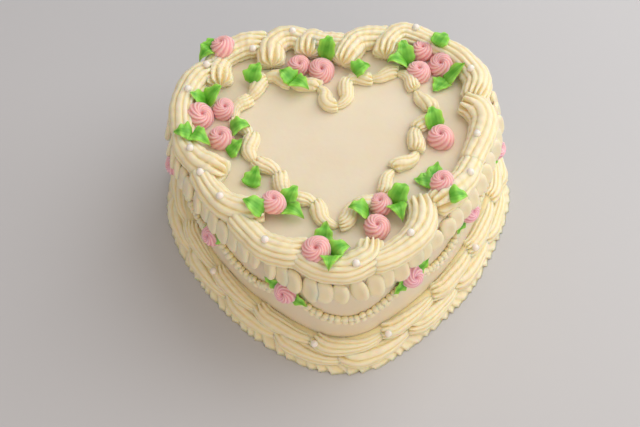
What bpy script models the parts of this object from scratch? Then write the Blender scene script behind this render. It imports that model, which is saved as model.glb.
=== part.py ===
"""A heart shaped layer cake iced in buttercream, with piped borders, roses, leaves and sugar pearls.

Metres, +Z up. The origin is on the surface the cake stands on, in the middle of the foot border's
box. The tip of the heart points to -Y and its cleft to +Y.
"""
import math
from dataclasses import dataclass, replace

import bmesh
import bpy
from mathutils import Matrix, Vector

MM = 0.001


@dataclass(frozen=True)
class HeartShape:
    """Radii and centres of the arcs that make a heart, in metres."""

    lobe_radius: float
    lobe_x: float
    lobe_y: float
    tip_radius: float
    tip_y: float
    side_radius: float
    cleft_radius: float


# Driving sizes of the iced cake
CAKE = HeartShape(0.0680, 0.0380, 0.0284, 0.0385, -0.0580, 0.1800, 0.0100)
FOOT_GUIDE = replace(CAKE, cleft_radius=0.0300)
CAKE_HEIGHT = 0.0960
EDGE_ROUNDING = 0.0050
CHORD_SAG = 0.00014

# Clearances between pieces that touch
WALL_GAP = 0.00045
GROWTH = 0.0004
PEARL_SINK = 0.0008

# Top border: scrolls piped with a star nozzle
NOZZLE_RIDGES = 5
NOZZLE_GROOVE = 0.80
SCROLL_HEAD_RADIUS = 0.0100
SCROLL_TAIL_RADIUS = 0.0074
SCROLL_AXIS_HEIGHT = 0.0045
SCROLL_STEPS = 5
SCROLL_START = 0.70
SCROLL_FILL_TURN = 2.2
SCROLL_FILL_LEAD = 0.12
BORDER_FOOT_Z = 0.0950

# Small heart of shells on the flat top
INNER_HEART = HeartShape(0.0290, 0.0330, 0.0305, 0.0100, -0.0440, 0.1500, 0.0070)
INNER_RADIUS = 0.0044
INNER_SHELLS = 20
INNER_COLUMNS = 4
INNER_WAIST = 0.72
INNER_SWELL = 0.33
INNER_AXIS = 0.6
INNER_FOOT = 0.9
INNER_SECTION = (25, 90, 155)

# Ruffle that hangs below the top border
RUFFLE_PETALS = 61
RUFFLE_TOP_Z = 0.0945
RUFFLE_HEM_Z = 0.0785
RUFFLE_SHELF = 0.0045
RUFFLE_REACH = 0.0070
RUFFLE_FOLD = 0.58
RUFFLE_NOTCH = 0.0030
RUFFLE_UNDERCUT = 0.0008
RUFFLE_UNEVEN_REACH = 0.15
RUFFLE_UNEVEN_HEM = 0.0015

# Bead garland on the wall
GARLAND_PEAK_Z = 0.0640
GARLAND_SAG = 0.0170
GARLAND_WIDTH = 0.0090
GARLAND_REACH = 0.0042
GARLAND_COLUMNS = 88
GARLAND_FACE = 0.55
GARLAND_WAIST = 0.82
GARLAND_STEEPEST = 1.5

# Waves round the cake that make piping uneven: how often each repeats, and how far a seed shifts it
UNEVEN_WAVES = ((7, 1.0), (11, 2.3), (17, 4.1))

# Foot border: two rows of shells, the upper seated on the lower, and a scalloped frill on the floor
FOOT_SHELLS = 15
UPPER_COLUMNS = 5
LOWER_COLUMNS = 10
LOWER_OUT = 0.0105
LOWER_Z = 0.0078
LOWER_RADIUS = 0.0080
UPPER_OUT = 0.0058
UPPER_Z = 0.0168
UPPER_RADIUS = 0.0064
SHELL_GROOVE = 0.86
SHELL_WAIST = 0.84
LOWER_SECTION = (22,)
UPPER_SECTION = (20, 62, 104)
UPPER_PHASE = 0.4
UPPER_CREST = 0.55
SEAT_INNER_Z = 0.0105
SEAT_OUT = 0.0122
SEAT_OUTER_Z = 0.0146
SEAT_GAP = 0.00035
FRILL_REACH = 0.0196
FRILL_BITE = 0.0026
FRILL_HEIGHT = 0.0042
FRILL_SLANT = 0.0015
FRILL_TOP_BITE = 0.7

# Toppings
ROSE_LEVELS = ((-0.35, 0.66), (0.22, 1.00), (1.00, 0.48))
ROSE_SIDES = 8
ROSE_EYE = 0.78
ROSE_LOBE = 0.08
ROSE_SINK = 0.30
ROSE_ROOM = 3
ROSE_FOOTPRINT = 0.6
ROSE_PROBES = 8
LEAF_WIDTH = 0.0120
LEAF_STATIONS = ((0.0, 0.50), (0.48, 1.0))
LEAF_THICKNESS = 0.0012
LEAF_LIFT = 0.0014
LEAF_FOLD = 0.0010
LEAF_OVERLAP = 0.25
LEAF_FALL = 0.30
LEAF_ROOM = 22
PEARL_RADIUS = 0.0020
FOOT_PEARL_TURN = math.radians(55)
POSY_ROSE_RADIUS = 7.4 * MM
POSY_LEAF_LENGTH = 13 * MM
POSY_LEAF_LIFT = 0.0034
POSY_LEAF_RISE = 0.10
POSY_ROSE_SEAT = 0.45
POSY_LEAF_FOOT = 0.60

# The top border's scrolls, each from its curled head to its tail: place round the edge from the
# heart's tip (0 to 1, the right side first) and millimetres outside the wall
SCROLLS = {
    "tip": [(0.048, -17), (0.036, -9), (0.018, -7), (0.000, -6), (-0.025, -6), (-0.058, -7)],
    "tip_right": [(0.122, -20), (0.112, -12), (0.098, -5), (0.078, -2), (0.055, -2), (0.030, -4)],
    "side_right": [(0.124, -9), (0.145, -6), (0.168, -4), (0.196, -5)],
    "lobe_right": [(0.276, -21), (0.262, -12), (0.245, -7), (0.225, -6), (0.205, -6), (0.186, -6)],
    "shoulder_right": [(0.277, -14), (0.300, -7), (0.325, -6), (0.352, -6), (0.386, -6)],
    "crown_right": [(0.440, -25), (0.433, -14), (0.418, -5), (0.400, -5), (0.374, -6)],
    "fan": [(0.496, -20), (0.485, -11), (0.465, -6), (0.428, -6)],
    "cleft": [(0.514, -15), (0.520, -4), (0.506, -1), (0.482, -5)],
    "crown_left": [(0.566, -27), (0.566, -19), (0.564, -11),
                   (0.553, -4), (0.540, -1.5), (0.527, -3), (0.517, -7)],
    "shoulder_left": [(0.568, -7), (0.595, -5), (0.620, -6), (0.648, -7)],
    "knot_left": [(0.662, -23), (0.652, -18), (0.642, -13), (0.630, -9)],
    "lobe_left": [(0.642, -12), (0.664, -7), (0.690, -6), (0.716, -6), (0.754, -6)],
    "side_left": [(0.821, -20), (0.808, -15), (0.790, -9), (0.768, -6), (0.742, -6)],
    "hollow_left": [(0.884, -22), (0.872, -12), (0.852, -6), (0.830, -5), (0.798, -6)],
    "tip_left": [(0.958, -14), (0.940, -6), (0.918, -2), (0.896, -3), (0.866, -5)],
}

# Roses on the top: millimetres from the middle, radius, and the tilt of the bloom away from the
# middle in degrees
TOP_ROSES = [
    (-72.1, 82.7, 8.1, 20),
    (-88.4, 31.5, 9.4, -28),
    (-71.8, 36.4, 7.6, -10),
    (-73.7, 13.0, 8.2, 5),
    (-21.3, 70.0, 7.3, -15),
    (-6.2, 64.3, 8.6, -15),
    (62.8, 76.2, 7.8, 0),
    (74.9, 63.5, 8.6, -20),
    (58.6, 58.5, 7.9, 6),
    (68.7, 4.1, 8.4, -5),
    (66.0, -35.1, 7.7, -8),
    (26.7, -44.4, 7.5, -12),
    (23.3, -60.7, 8.1, 5),
    (-40.3, -42.4, 7.7, -8),
    (-14.7, -79.0, 8.8, 8),
]

# Leaves on the top: the foot that a fan of leaves shares, in millimetres, then the direction in
# degrees and the length of each leaf
TOP_LEAVES = [
    ((-79.0, 83.0), [(82, 11), (218, 12)]),
    ((-83.5, 43.0), [(172, 10), (28, 13)]),
    ((-92.0, 13.0), [(178, 12), (-32, 14)]),
    ((-67.5, 18.0), [(8, 14)]),
    ((-69.5, 2.0), [(28, 12)]),
    ((-54.0, 56.0), [(62, 15)]),
    ((-55.5, -24.5), [(62, 14)]),
    ((-33.5, -43.0), [(60, 16), (-35, 15)]),
    ((-46.5, -49.5), [(150, 14)]),
    ((-11.0, -69.0), [(72, 13)]),
    ((-5.5, -81.5), [(26, 14), (-94, 14)]),
    ((-25.5, 54.5), [(135, 12), (-42, 13)]),
    ((-3.5, 73.0), [(60, 12)]),
    ((15.5, 58.0), [(30, 14)]),
    ((51.5, 66.5), [(104, 14), (190, 14)]),
    ((72.0, 74.0), [(52, 15)]),
    ((75.5, 52.0), [(15, 14), (-125, 13)]),
    ((66.0, 11.5), [(105, 13)]),
    ((60.5, -28.0), [(72, 15), (176, 12)]),
    ((69.0, -47.5), [(4, 12)]),
    ((35.5, -45.0), [(52, 16), (-72, 14)]),
    ((19.0, -51.0), [(174, 13)]),
]

# Posies on the wall: place round the edge, height in millimetres, turn of the two leaves in degrees
POSIES = [
    (0.075, 66, 20),
    (0.164, 72, 35),
    (0.243, 74, 0),
    (0.328, 70, 15),
    (0.413, 68, 30),
    (0.500, 70, 10),
    (0.587, 68, 25),
    (0.672, 70, 5),
    (0.757, 76, 20),
    (0.839, 62, 40),
    (0.941, 65, -20),
]

# Pearls on the top border: place round the edge and millimetres outside the wall
TOP_PEARLS = [
    (0.016, -4), (0.080, -3), (0.173, -1), (0.219, -8), (0.314, -9), (0.403, -3), (0.540, -2),
    (0.589, -13), (0.653, -9), (0.694, -8), (0.779, -7), (0.810, -5), (0.848, -5), (0.917, -2),
]

COLOURS = {
    "icing": ((0.83, 0.76, 0.55), 0.45),
    "piping": ((0.88, 0.82, 0.62), 0.42),
    "rose_pink": ((0.82, 0.35, 0.37), 0.50),
    "leaf_green": ((0.13, 0.55, 0.09), 0.50),
}


# The heart's outline

class HeartPath:
    """A closed heart of tangent arcs, walked counter-clockwise from its tip."""

    def __init__(self, shape, offset=0.0):
        lobe_radius = shape.lobe_radius + offset
        tip_radius = shape.tip_radius + offset
        side_radius = shape.side_radius + offset
        cleft_radius = shape.cleft_radius - offset
        lobe = Vector((shape.lobe_x, shape.lobe_y))
        tip = Vector((0.0, shape.tip_y))
        side = side_centre(lobe, tip, side_radius - lobe_radius, side_radius - tip_radius)
        rise = math.sqrt((lobe_radius + cleft_radius) ** 2 - shape.lobe_x ** 2)
        cleft = Vector((0.0, shape.lobe_y + rise))
        start = -math.pi / 2
        at_side = angle_of(tip - side)
        at_lobe = angle_of(lobe - side)
        at_cleft = angle_of(cleft - lobe)
        # Each arc: centre, radius, first and last angle, and 1 if it bulges outwards or -1 if inwards
        self.arcs = [
            (tip, tip_radius, start, at_side, 1.0),
            (side, side_radius, at_side, at_lobe, 1.0),
            (lobe, lobe_radius, at_lobe, at_cleft, 1.0),
            (cleft, cleft_radius, at_cleft - math.pi, start, -1.0),
        ]
        self.half = sum(arc_length(arc) for arc in self.arcs)

    def at(self, place):
        """Point and outward direction at a place from 0 to 1 round the heart."""
        place = place % 1.0
        mirror = -1.0 if place > 0.5 else 1.0
        left = 2.0 * min(place, 1.0 - place) * self.half
        for arc in self.arcs:
            length = arc_length(arc)
            if left <= length or arc is self.arcs[-1]:
                break
            left -= length
        centre, radius, first, last, facing = arc
        turn = first + (last - first) * min(left / length, 1.0)
        ray = Vector((math.cos(turn), math.sin(turn)))
        point = centre + ray * radius
        return Vector((mirror * point.x, point.y)), Vector((mirror * ray.x, ray.y)) * facing

    def place(self, where, out, height):
        """World point at a place round the heart, a distance outside it and a height."""
        point, outward = self.at(where)
        point = point + outward * out
        return Vector((point.x, point.y, height))

    def stations(self):
        """Places round the heart so close that no chord leaves its arc by more than CHORD_SAG."""
        places = []
        walked = 0.0
        for arc in self.arcs:
            length = arc_length(arc)
            steps = math.ceil(length / math.sqrt(8 * arc[1] * CHORD_SAG))
            places += [(walked + length * i / steps) / self.half / 2 for i in range(steps)]
            walked += length
        return places + [0.5] + [1.0 - p for p in reversed(places[1:])]


def side_centre(lobe, tip, to_lobe, to_tip):
    """Centre of the long flank arc that wraps both the lobe's circle and the tip's circle."""
    apart = (tip - lobe).length
    along = (tip - lobe) / apart
    near = (to_lobe ** 2 - to_tip ** 2 + apart ** 2) / (2 * apart)
    across = math.sqrt(to_lobe ** 2 - near ** 2)
    return lobe + along * near + Vector((along.y, -along.x)) * across


def angle_of(direction):
    return math.atan2(direction.y, direction.x)


def arc_length(arc):
    return arc[1] * abs(arc[3] - arc[2])


WALL = HeartPath(CAKE)
FOOT = HeartPath(FOOT_GUIDE)
INNER = HeartPath(INNER_HEART)


# Scene, materials and mesh helpers

def clear_scene():
    for item in list(bpy.data.objects):
        bpy.data.objects.remove(item, do_unlink=True)


def make_collection(name):
    collection = bpy.data.collections.new(name)
    bpy.context.scene.collection.children.link(collection)
    return collection


def make_material(name):
    colour, roughness = COLOURS[name]
    material = bpy.data.materials.new(name)
    material.use_nodes = True
    shader = material.node_tree.nodes["Principled BSDF"]
    shader.inputs["Base Color"].default_value = (*colour, 1.0)
    shader.inputs["Roughness"].default_value = roughness
    shader.inputs["Metallic"].default_value = 0.0
    return material


def add_object(name, mesh, collection):
    item = bpy.data.objects.new(name, mesh)
    collection.objects.link(item)
    return item


def add_shape(name, shape, collection):
    """Closes a bmesh into an object, its faces pointing out and split into triangles."""
    bmesh.ops.recalc_face_normals(shape, faces=shape.faces[:])
    bmesh.ops.triangulate(shape, faces=shape.faces[:], quad_method="FIXED")
    mesh = bpy.data.meshes.new(name)
    shape.to_mesh(mesh)
    shape.free()
    return add_object(name, mesh, collection)


def keep_largest_piece(shape):
    """Drops loose scraps that a cut leaves."""
    waiting = set(shape.verts)
    pieces = []
    while waiting:
        stack = [waiting.pop()]
        piece = set(stack)
        while stack:
            vert = stack.pop()
            for edge in vert.link_edges:
                other = edge.other_vert(vert)
                if other not in piece:
                    piece.add(other)
                    waiting.discard(other)
                    stack.append(other)
        pieces.append(piece)
    largest = max(pieces, key=len)
    spare = [v for v in shape.verts if v not in largest]
    if spare:
        bmesh.ops.delete(shape, geom=spare, context="VERTS")


def settled_mesh(item):
    """The object's mesh as its modifiers leave it, welded, as one piece of triangles."""
    bpy.context.view_layer.update()
    graph = bpy.context.evaluated_depsgraph_get()
    mesh = bpy.data.meshes.new_from_object(item.evaluated_get(graph))
    shape = bmesh.new()
    shape.from_mesh(mesh)
    bmesh.ops.remove_doubles(shape, verts=shape.verts[:], dist=1e-6)
    bmesh.ops.dissolve_degenerate(shape, dist=1e-6, edges=shape.edges[:])
    keep_largest_piece(shape)
    bmesh.ops.recalc_face_normals(shape, faces=shape.faces[:])
    bmesh.ops.triangulate(shape, faces=shape.faces[:], quad_method="FIXED")
    shape.to_mesh(mesh)
    shape.free()
    return mesh


def combine(item, operation, others):
    """One applied Boolean of an object with a list of others, which stay as they are."""
    helpers = make_collection("operands")
    for other in others:
        helpers.objects.link(other)
    step = item.modifiers.new(operation.lower(), "BOOLEAN")
    step.operation = operation
    step.operand_type = "COLLECTION"
    step.collection = helpers
    step.solver = "MANIFOLD"
    before = item.data
    item.data = settled_mesh(item)
    item.modifiers.clear()
    bpy.data.meshes.remove(before)
    bpy.data.collections.remove(helpers)


def cut(item, rooms):
    """Cuts an object by each of a list of cutters in turn."""
    for room in rooms:
        combine(item, "DIFFERENCE", [room])


def fuse(name, items):
    """Joins overlapping objects into one closed body by one Boolean union."""
    body = items[0]
    if len(items) > 1:
        combine(body, "UNION", items[1:])
    for item in items[1:]:
        bpy.data.objects.remove(item, do_unlink=True)
    body.name = name
    return body


def smooth_path(keys, steps):
    """Points on a Catmull-Rom curve through the keys."""
    keys = [keys[0] * 2 - keys[1]] + keys + [keys[-1] * 2 - keys[-2]]
    spans = len(keys) - 3
    path = []
    for i in range(steps + 1):
        along = spans * i / steps
        k = min(int(along), spans - 1)
        t = along - k
        a, b, c, d = keys[k:k + 4]
        bend = (a * 2 - b * 5 + c * 4 - d) * t ** 2 + (b * 3 - a - c * 3 + d) * t ** 3
        path.append((b * 2 + (c - a) * t + bend) * 0.5)
    return path


def star_outline(cutters):
    """Closed star of unit radius, the shape of the piping nozzle."""
    count = 2 * NOZZLE_RIDGES
    curve = bpy.data.curves.new("nozzle", "CURVE")
    curve.dimensions = "2D"
    spline = curve.splines.new("POLY")
    spline.points.add(count - 1)
    spline.use_cyclic_u = True
    for i, point in enumerate(spline.points):
        turn = math.pi * i / NOZZLE_RIDGES
        radius = 1.0 if i % 2 == 0 else NOZZLE_GROOVE
        point.co = (radius * math.cos(turn), radius * math.sin(turn), 0.0, 1.0)
    item = add_object("nozzle", curve, cutters)
    item.hide_render = True
    item.display_type = "WIRE"
    return item


def ridged_tube(name, path, radii, nozzle, collection):
    """Star shaped tube along a path, with a radius at each point."""
    curve = bpy.data.curves.new(name, "CURVE")
    curve.dimensions = "3D"
    curve.twist_mode = "MINIMUM"
    curve.bevel_mode = "OBJECT"
    curve.bevel_object = nozzle
    curve.use_fill_caps = True
    spline = curve.splines.new("POLY")
    spline.points.add(len(path) - 1)
    for point, where, radius in zip(spline.points, path, radii):
        point.co = (*where, 1.0)
        point.radius = radius
    guide = add_object(name + "_line", curve, collection)
    mesh = settled_mesh(guide)
    bpy.data.objects.remove(guide, do_unlink=True)
    return add_object(name, mesh, collection)


def ring(name, columns, collection):
    """Closed ring through columns that each give the points round its section."""
    shape = bmesh.new()
    rows = [[shape.verts.new(point) for point in column] for column in columns]
    count = len(rows[0])
    for row, after in zip(rows, rows[1:] + rows[:1]):
        for j in range(count):
            k = (j + 1) % count
            shape.faces.new((row[j], row[k], after[k]))
            shape.faces.new((row[j], after[k], after[j]))
    return add_shape(name, shape, collection)


def shell_swell(turns):
    """Fullness of a piped shell along its length: quickly up to 1, then slowly down to 0."""
    return math.sin(math.pi * (turns % 1.0) ** 0.6)


def foot_shell(radius, turns):
    """Radius of a foot shell at a place along the row, counted in shells."""
    return radius * (SHELL_WAIST + (1.0 - SHELL_WAIST) * shell_swell(turns))


def uneven(place, seed):
    """Smooth hand made unevenness from -1 to 1 that repeats once round the cake."""
    turn = 2 * math.pi * place
    waves = [math.sin(times * turn + shift * seed) for times, shift in UNEVEN_WAVES]
    return sum(waves) / len(waves)


# The iced cake

def make_body(name, collection, grow=0.0):
    """Heart outline extruded to the cake's height, its top edge rounded by a bevel."""
    shape = bmesh.new()
    path = HeartPath(CAKE, grow)
    floor = [shape.verts.new(path.place(where, 0.0, -grow)) for where in path.stations()]
    base = shape.faces.new(floor)
    raised = bmesh.ops.extrude_face_region(shape, geom=[base])["geom"]
    lifted = [v for v in raised if isinstance(v, bmesh.types.BMVert)]
    bmesh.ops.translate(shape, verts=lifted, vec=(0.0, 0.0, CAKE_HEIGHT + 2 * grow))
    rim = [e for e in shape.edges if all(v in lifted for v in e.verts)]
    bmesh.ops.bevel(shape, geom=rim, offset=EDGE_ROUNDING, segments=2, profile=0.5, affect="EDGES")
    return add_shape(name, shape, collection)


# The top border of scrolls

def scroll_line(keys):
    """Middle line and radii of one scroll: fat at its curled head, thinner at its tail."""
    path = smooth_path([WALL.place(where, out * MM, 0.0) for where, out in keys], SCROLL_STEPS)
    radii = []
    for i, point in enumerate(path):
        t = i / SCROLL_STEPS
        fill = math.sin(math.pi / 2 * min(1.0, (t + SCROLL_FILL_LEAD) * SCROLL_FILL_TURN))
        radius = SCROLL_HEAD_RADIUS + (SCROLL_TAIL_RADIUS - SCROLL_HEAD_RADIUS) * t
        radius *= SCROLL_START + (1.0 - SCROLL_START) * fill
        radii.append(radius)
        point.z = CAKE_HEIGHT + SCROLL_AXIS_HEIGHT * radius / SCROLL_HEAD_RADIUS
    return path, radii


def border_samples():
    """Balls along every scroll and the small heart, as centre and radius, that fill them."""
    balls = []
    for keys in SCROLLS.values():
        path, radii = scroll_line(keys)
        for a, b, first, last in zip(path, path[1:], radii, radii[1:]):
            balls += [(a.lerp(b, t), first + (last - first) * t) for t in (0.0, 0.25, 0.5, 0.75)]
    count = INNER_SHELLS * INNER_COLUMNS * 2
    axis = CAKE_HEIGHT + INNER_AXIS * INNER_RADIUS
    balls += [(INNER.place(i / count, 0.0, axis), INNER_RADIUS) for i in range(count)]
    return balls


BORDER_BALLS = border_samples()


def border_height(x, y):
    """Height of the cake's top, or of the piping that covers it, at a point."""
    height = CAKE_HEIGHT
    for centre, radius in BORDER_BALLS:
        apart = (centre.x - x) ** 2 + (centre.y - y) ** 2
        if apart < radius ** 2:
            height = max(height, centre.z + math.sqrt(radius ** 2 - apart))
    return height


def make_pearl(name, centre, collection, grow=0.0):
    shape = bmesh.new()
    bmesh.ops.create_icosphere(shape, subdivisions=1, radius=PEARL_RADIUS + grow)
    bmesh.ops.translate(shape, verts=shape.verts[:], vec=centre)
    return add_shape(name, shape, collection)


def make_slab(name, low, high, collection):
    """Plain block, wider than the cake, that trims the border at a height."""
    shape = bmesh.new()
    reach = 4 * CAKE.lobe_radius + 4 * CAKE.lobe_x
    bmesh.ops.create_cube(shape, size=1.0)
    bmesh.ops.scale(shape, verts=shape.verts[:], vec=(reach, reach, high - low))
    bmesh.ops.translate(shape, verts=shape.verts[:], vec=(0.0, 0.0, (low + high) / 2))
    return add_shape(name, shape, collection)


def make_top_border(name, nozzle, collection, grow=0.0):
    pieces = []
    for label, keys in SCROLLS.items():
        path, radii = scroll_line(keys)
        wide = [radius + grow for radius in radii]
        pieces.append(ridged_tube(f"{name}_{label}", path, wide, nozzle, collection))
    for i, (where, out) in enumerate(TOP_PEARLS):
        centre = WALL.place(where, out * MM, 0.0)
        centre.z = border_height(centre.x, centre.y) - PEARL_SINK
        pieces.append(make_pearl(f"{name}_pearl_{i}", centre, collection, grow))
    return fuse(name, pieces)


# The small heart of shells

def make_inner_heart(name, collection, grow=0.0):
    """Ring of shells with a flat underside on the cake's top."""
    columns = []
    count = INNER_SHELLS * INNER_COLUMNS
    floor = CAKE_HEIGHT + WALL_GAP - grow
    for i in range(count):
        where = i / count
        radius = INNER_RADIUS * (INNER_WAIST + INNER_SWELL * shell_swell(i / INNER_COLUMNS)) + grow
        foot = INNER_FOOT * radius
        column = [INNER.place(where, -foot, floor), INNER.place(where, foot, floor)]
        for degrees in INNER_SECTION:
            turn = math.radians(degrees)
            height = CAKE_HEIGHT + INNER_AXIS * radius + radius * math.sin(turn)
            column.append(INNER.place(where, radius * math.cos(turn), height))
        columns.append(column)
    return ring(name, columns, collection)


# The ruffle and the garland on the wall

def make_ruffle(name, collection, grow=0.0):
    """Hanging petals: the hem bulges out and down at each petal's middle."""
    columns = []
    count = 2 * RUFFLE_PETALS
    inside = WALL_GAP - 2 * grow
    for i in range(count):
        where = i / count
        loose = uneven(where, 1.0)
        reach = RUFFLE_REACH * (1.0 + RUFFLE_UNEVEN_REACH * loose)
        hem = RUFFLE_HEM_Z + RUFFLE_UNEVEN_HEM * loose
        if i % 2:
            reach = RUFFLE_REACH * RUFFLE_FOLD
            hem += RUFFLE_NOTCH
        columns.append([
            WALL.place(where, inside, RUFFLE_TOP_Z + grow),
            WALL.place(where, RUFFLE_SHELF + grow, RUFFLE_TOP_Z + grow),
            WALL.place(where, reach + grow, hem - grow),
            WALL.place(where, inside, hem - RUFFLE_UNDERCUT - grow),
        ])
    return ring(name, columns, collection)


def garland_line(where):
    """Height and slope of the garland, which hangs in a swag between each two posies."""
    places = [posy[0] for posy in POSIES]
    after = next((p for p in places if p > where), places[0] + 1.0)
    before = max((p for p in places if p <= where), default=places[-1] - 1.0)
    span = after - before
    along = (where - before) / span
    height = GARLAND_PEAK_Z - 4 * GARLAND_SAG * along * (1 - along)
    slope = -4 * GARLAND_SAG * (1 - 2 * along) / (span * 2 * WALL.half)
    return height, slope


def make_garland(name, collection, grow=0.0):
    columns = []
    inside = WALL_GAP - grow
    for i in range(GARLAND_COLUMNS):
        where = i / GARLAND_COLUMNS
        height, slope = garland_line(where)
        half = GARLAND_WIDTH / 2 * min(GARLAND_STEEPEST, math.hypot(1.0, slope)) + 2 * grow
        reach = GARLAND_REACH * (1.0 if i % 2 == 0 else GARLAND_WAIST) + grow
        columns.append([
            WALL.place(where, inside, height - half),
            WALL.place(where, reach, height - GARLAND_FACE * half),
            WALL.place(where, reach, height + GARLAND_FACE * half),
            WALL.place(where, inside, height + half),
        ])
    return ring(name, columns, collection)


# The foot border

def shell_side(where, out, height, radius, degrees):
    """Points on the ridged outer side of a row of shells, from low to high."""
    points = []
    for j, angle in enumerate(degrees):
        turn = math.radians(angle)
        ridge = radius if j % 2 == 0 else radius * SHELL_GROOVE
        points.append(FOOT.place(where, out + ridge * math.cos(turn), height + ridge * math.sin(turn)))
    return points


def make_foot_lower(name, collection):
    """Row of shells against the wall, its foot spread on the floor in a scalloped frill."""
    columns = []
    count = FOOT_SHELLS * LOWER_COLUMNS
    for i in range(count):
        where = i / count
        radius = foot_shell(LOWER_RADIUS, i / LOWER_COLUMNS)
        bite = FRILL_BITE if i % 2 else 0.0
        frill_top = FRILL_REACH - FRILL_SLANT - FRILL_TOP_BITE * bite
        columns.append([
            WALL.place(where, WALL_GAP, 0.0),
            FOOT.place(where, FRILL_REACH - bite, 0.0),
            FOOT.place(where, frill_top, FRILL_HEIGHT - bite / 2),
            *shell_side(where, LOWER_OUT, LOWER_Z, radius, LOWER_SECTION),
            FOOT.place(where, SEAT_OUT, SEAT_OUTER_Z),
            WALL.place(where, WALL_GAP, SEAT_INNER_Z),
        ])
    return ring(name, columns, collection)


def make_foot_upper(name, collection):
    """Row of shells that lies on the slanted seat of the lower one, against the wall."""
    columns = []
    count = FOOT_SHELLS * UPPER_COLUMNS
    for i in range(count):
        where = i / count
        radius = foot_shell(UPPER_RADIUS, i / UPPER_COLUMNS + UPPER_PHASE)
        columns.append([
            WALL.place(where, WALL_GAP, SEAT_INNER_Z + SEAT_GAP),
            FOOT.place(where, SEAT_OUT - SEAT_GAP, SEAT_OUTER_Z + SEAT_GAP),
            *shell_side(where, UPPER_OUT, UPPER_Z, radius, UPPER_SECTION),
            WALL.place(where, WALL_GAP, UPPER_Z + UPPER_CREST * radius),
        ])
    return ring(name, columns, collection)


def foot_pearls(name, places, collection):
    """Pearls pressed into the upper row where two shells meet."""
    pearls = []
    reach = SHELL_WAIST * UPPER_RADIUS
    out = UPPER_OUT + reach * math.cos(FOOT_PEARL_TURN)
    height = UPPER_Z + reach * math.sin(FOOT_PEARL_TURN)
    for i, where in enumerate(places):
        pearls.append(make_pearl(f"{name}_{i}", FOOT.place(where, out, height), collection))
    return pearls


# Roses, leaves and posies

def rose_shape(size):
    """Lobed bud in its own frame: the bloom opens to +Z and its underside dips below 0."""
    shape = bmesh.new()
    rows = []
    for level, (height, width) in enumerate(ROSE_LEVELS):
        row = []
        for i in range(ROSE_SIDES):
            turn = 2 * math.pi * i / ROSE_SIDES
            out = size * width * (1.0 + ROSE_LOBE * (1 if (i + level) % 2 == 0 else -1))
            row.append(shape.verts.new((out * math.cos(turn), out * math.sin(turn), size * height)))
        rows.append(row)
    for row, above in zip(rows, rows[1:]):
        for i in range(ROSE_SIDES):
            k = (i + 1) % ROSE_SIDES
            shape.faces.new((row[i], row[k], above[k]))
            shape.faces.new((row[i], above[k], above[i]))
    shape.faces.new(rows[0])
    eye = shape.verts.new((0.0, 0.0, size * ROSE_EYE))
    for i in range(ROSE_SIDES):
        shape.faces.new((rows[-1][i], rows[-1][(i + 1) % ROSE_SIDES], eye))
    return shape


def rose_ground(x, y, radius):
    """Height that carries a rose: under its middle, or the mean round it where that is higher."""
    turns = [2 * math.pi * i / ROSE_PROBES for i in range(ROSE_PROBES)]
    reach = ROSE_FOOTPRINT * radius
    around = [border_height(x + reach * math.cos(turn), y + reach * math.sin(turn)) for turn in turns]
    return max(border_height(x, y), sum(around) / ROSE_PROBES)


def top_rose_frame(x, y, radius, tilt):
    """Where a rose sits on the border or on the flat top, leaning away from the middle."""
    x, y, radius = x * MM, y * MM, radius * MM
    height = max(rose_ground(x, y, radius) - ROSE_SINK * radius, CAKE_HEIGHT + ROSE_SINK * radius)
    lean = Matrix.Rotation(math.radians(tilt), 4, Vector((-y, x, 0.0)).normalized())
    return Matrix.Translation((x, y, height)) @ lean


def make_rose(name, radius, frame, collection):
    shape = rose_shape(radius)
    bmesh.ops.transform(shape, matrix=frame, verts=shape.verts[:])
    return add_shape(name, shape, collection)


def leaf_sheet(length, height_at):
    """Open sheet of triangles in the leaf's own frame: foot at 0, tip along +X, edges waved."""
    shape = bmesh.new()
    half = LEAF_WIDTH / 2
    rows = []
    for i, (along, width) in enumerate(LEAF_STATIONS):
        x = along * length
        y = half * width
        wave = LEAF_FOLD if i % 2 else 0.0
        rows.append([
            shape.verts.new((x, -y, height_at(x, -y) + LEAF_FOLD - wave)),
            shape.verts.new((x, 0.0, height_at(x, 0.0))),
            shape.verts.new((x, y, height_at(x, y) + wave)),
        ])
    tip = shape.verts.new((length, 0.0, height_at(length, 0.0) + LEAF_FOLD))
    for row, after in zip(rows, rows[1:]):
        for j in range(2):
            shape.faces.new((row[j], after[j], after[j + 1]))
            shape.faces.new((row[j], after[j + 1], row[j + 1]))
    for j in range(2):
        shape.faces.new((rows[-1][j], tip, rows[-1][j + 1]))
    return shape


def make_leaf(name, length, height_at, frame, collection):
    """Leaf of even thickness, both of its faces split into triangles alike."""
    shape = leaf_sheet(length, height_at)
    bmesh.ops.transform(shape, matrix=frame, verts=shape.verts[:])
    mesh = bpy.data.meshes.new(name)
    shape.to_mesh(mesh)
    shape.free()
    sheet = add_object(name + "_sheet", mesh, collection)
    thicken = sheet.modifiers.new("thickness", "SOLIDIFY")
    thicken.thickness = LEAF_THICKNESS
    thicken.offset = 0.0
    solid = add_object(name, settled_mesh(sheet), collection)
    bpy.data.objects.remove(sheet, do_unlink=True)
    return solid


def draped_height(frame, length, lift):
    """Height of a leaf over a point of its own plan, so that it lies over what is under it."""
    def ground(x, y):
        point = frame @ Vector((x, y, 0.0))
        return border_height(point.x, point.y)

    first = ground(0.0, 0.0)
    last = max(ground(length, 0.0), first - LEAF_FALL * length)

    def height_at(x, y):
        return max(ground(x, y), first + (last - first) * x / length) + lift

    return height_at


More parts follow.
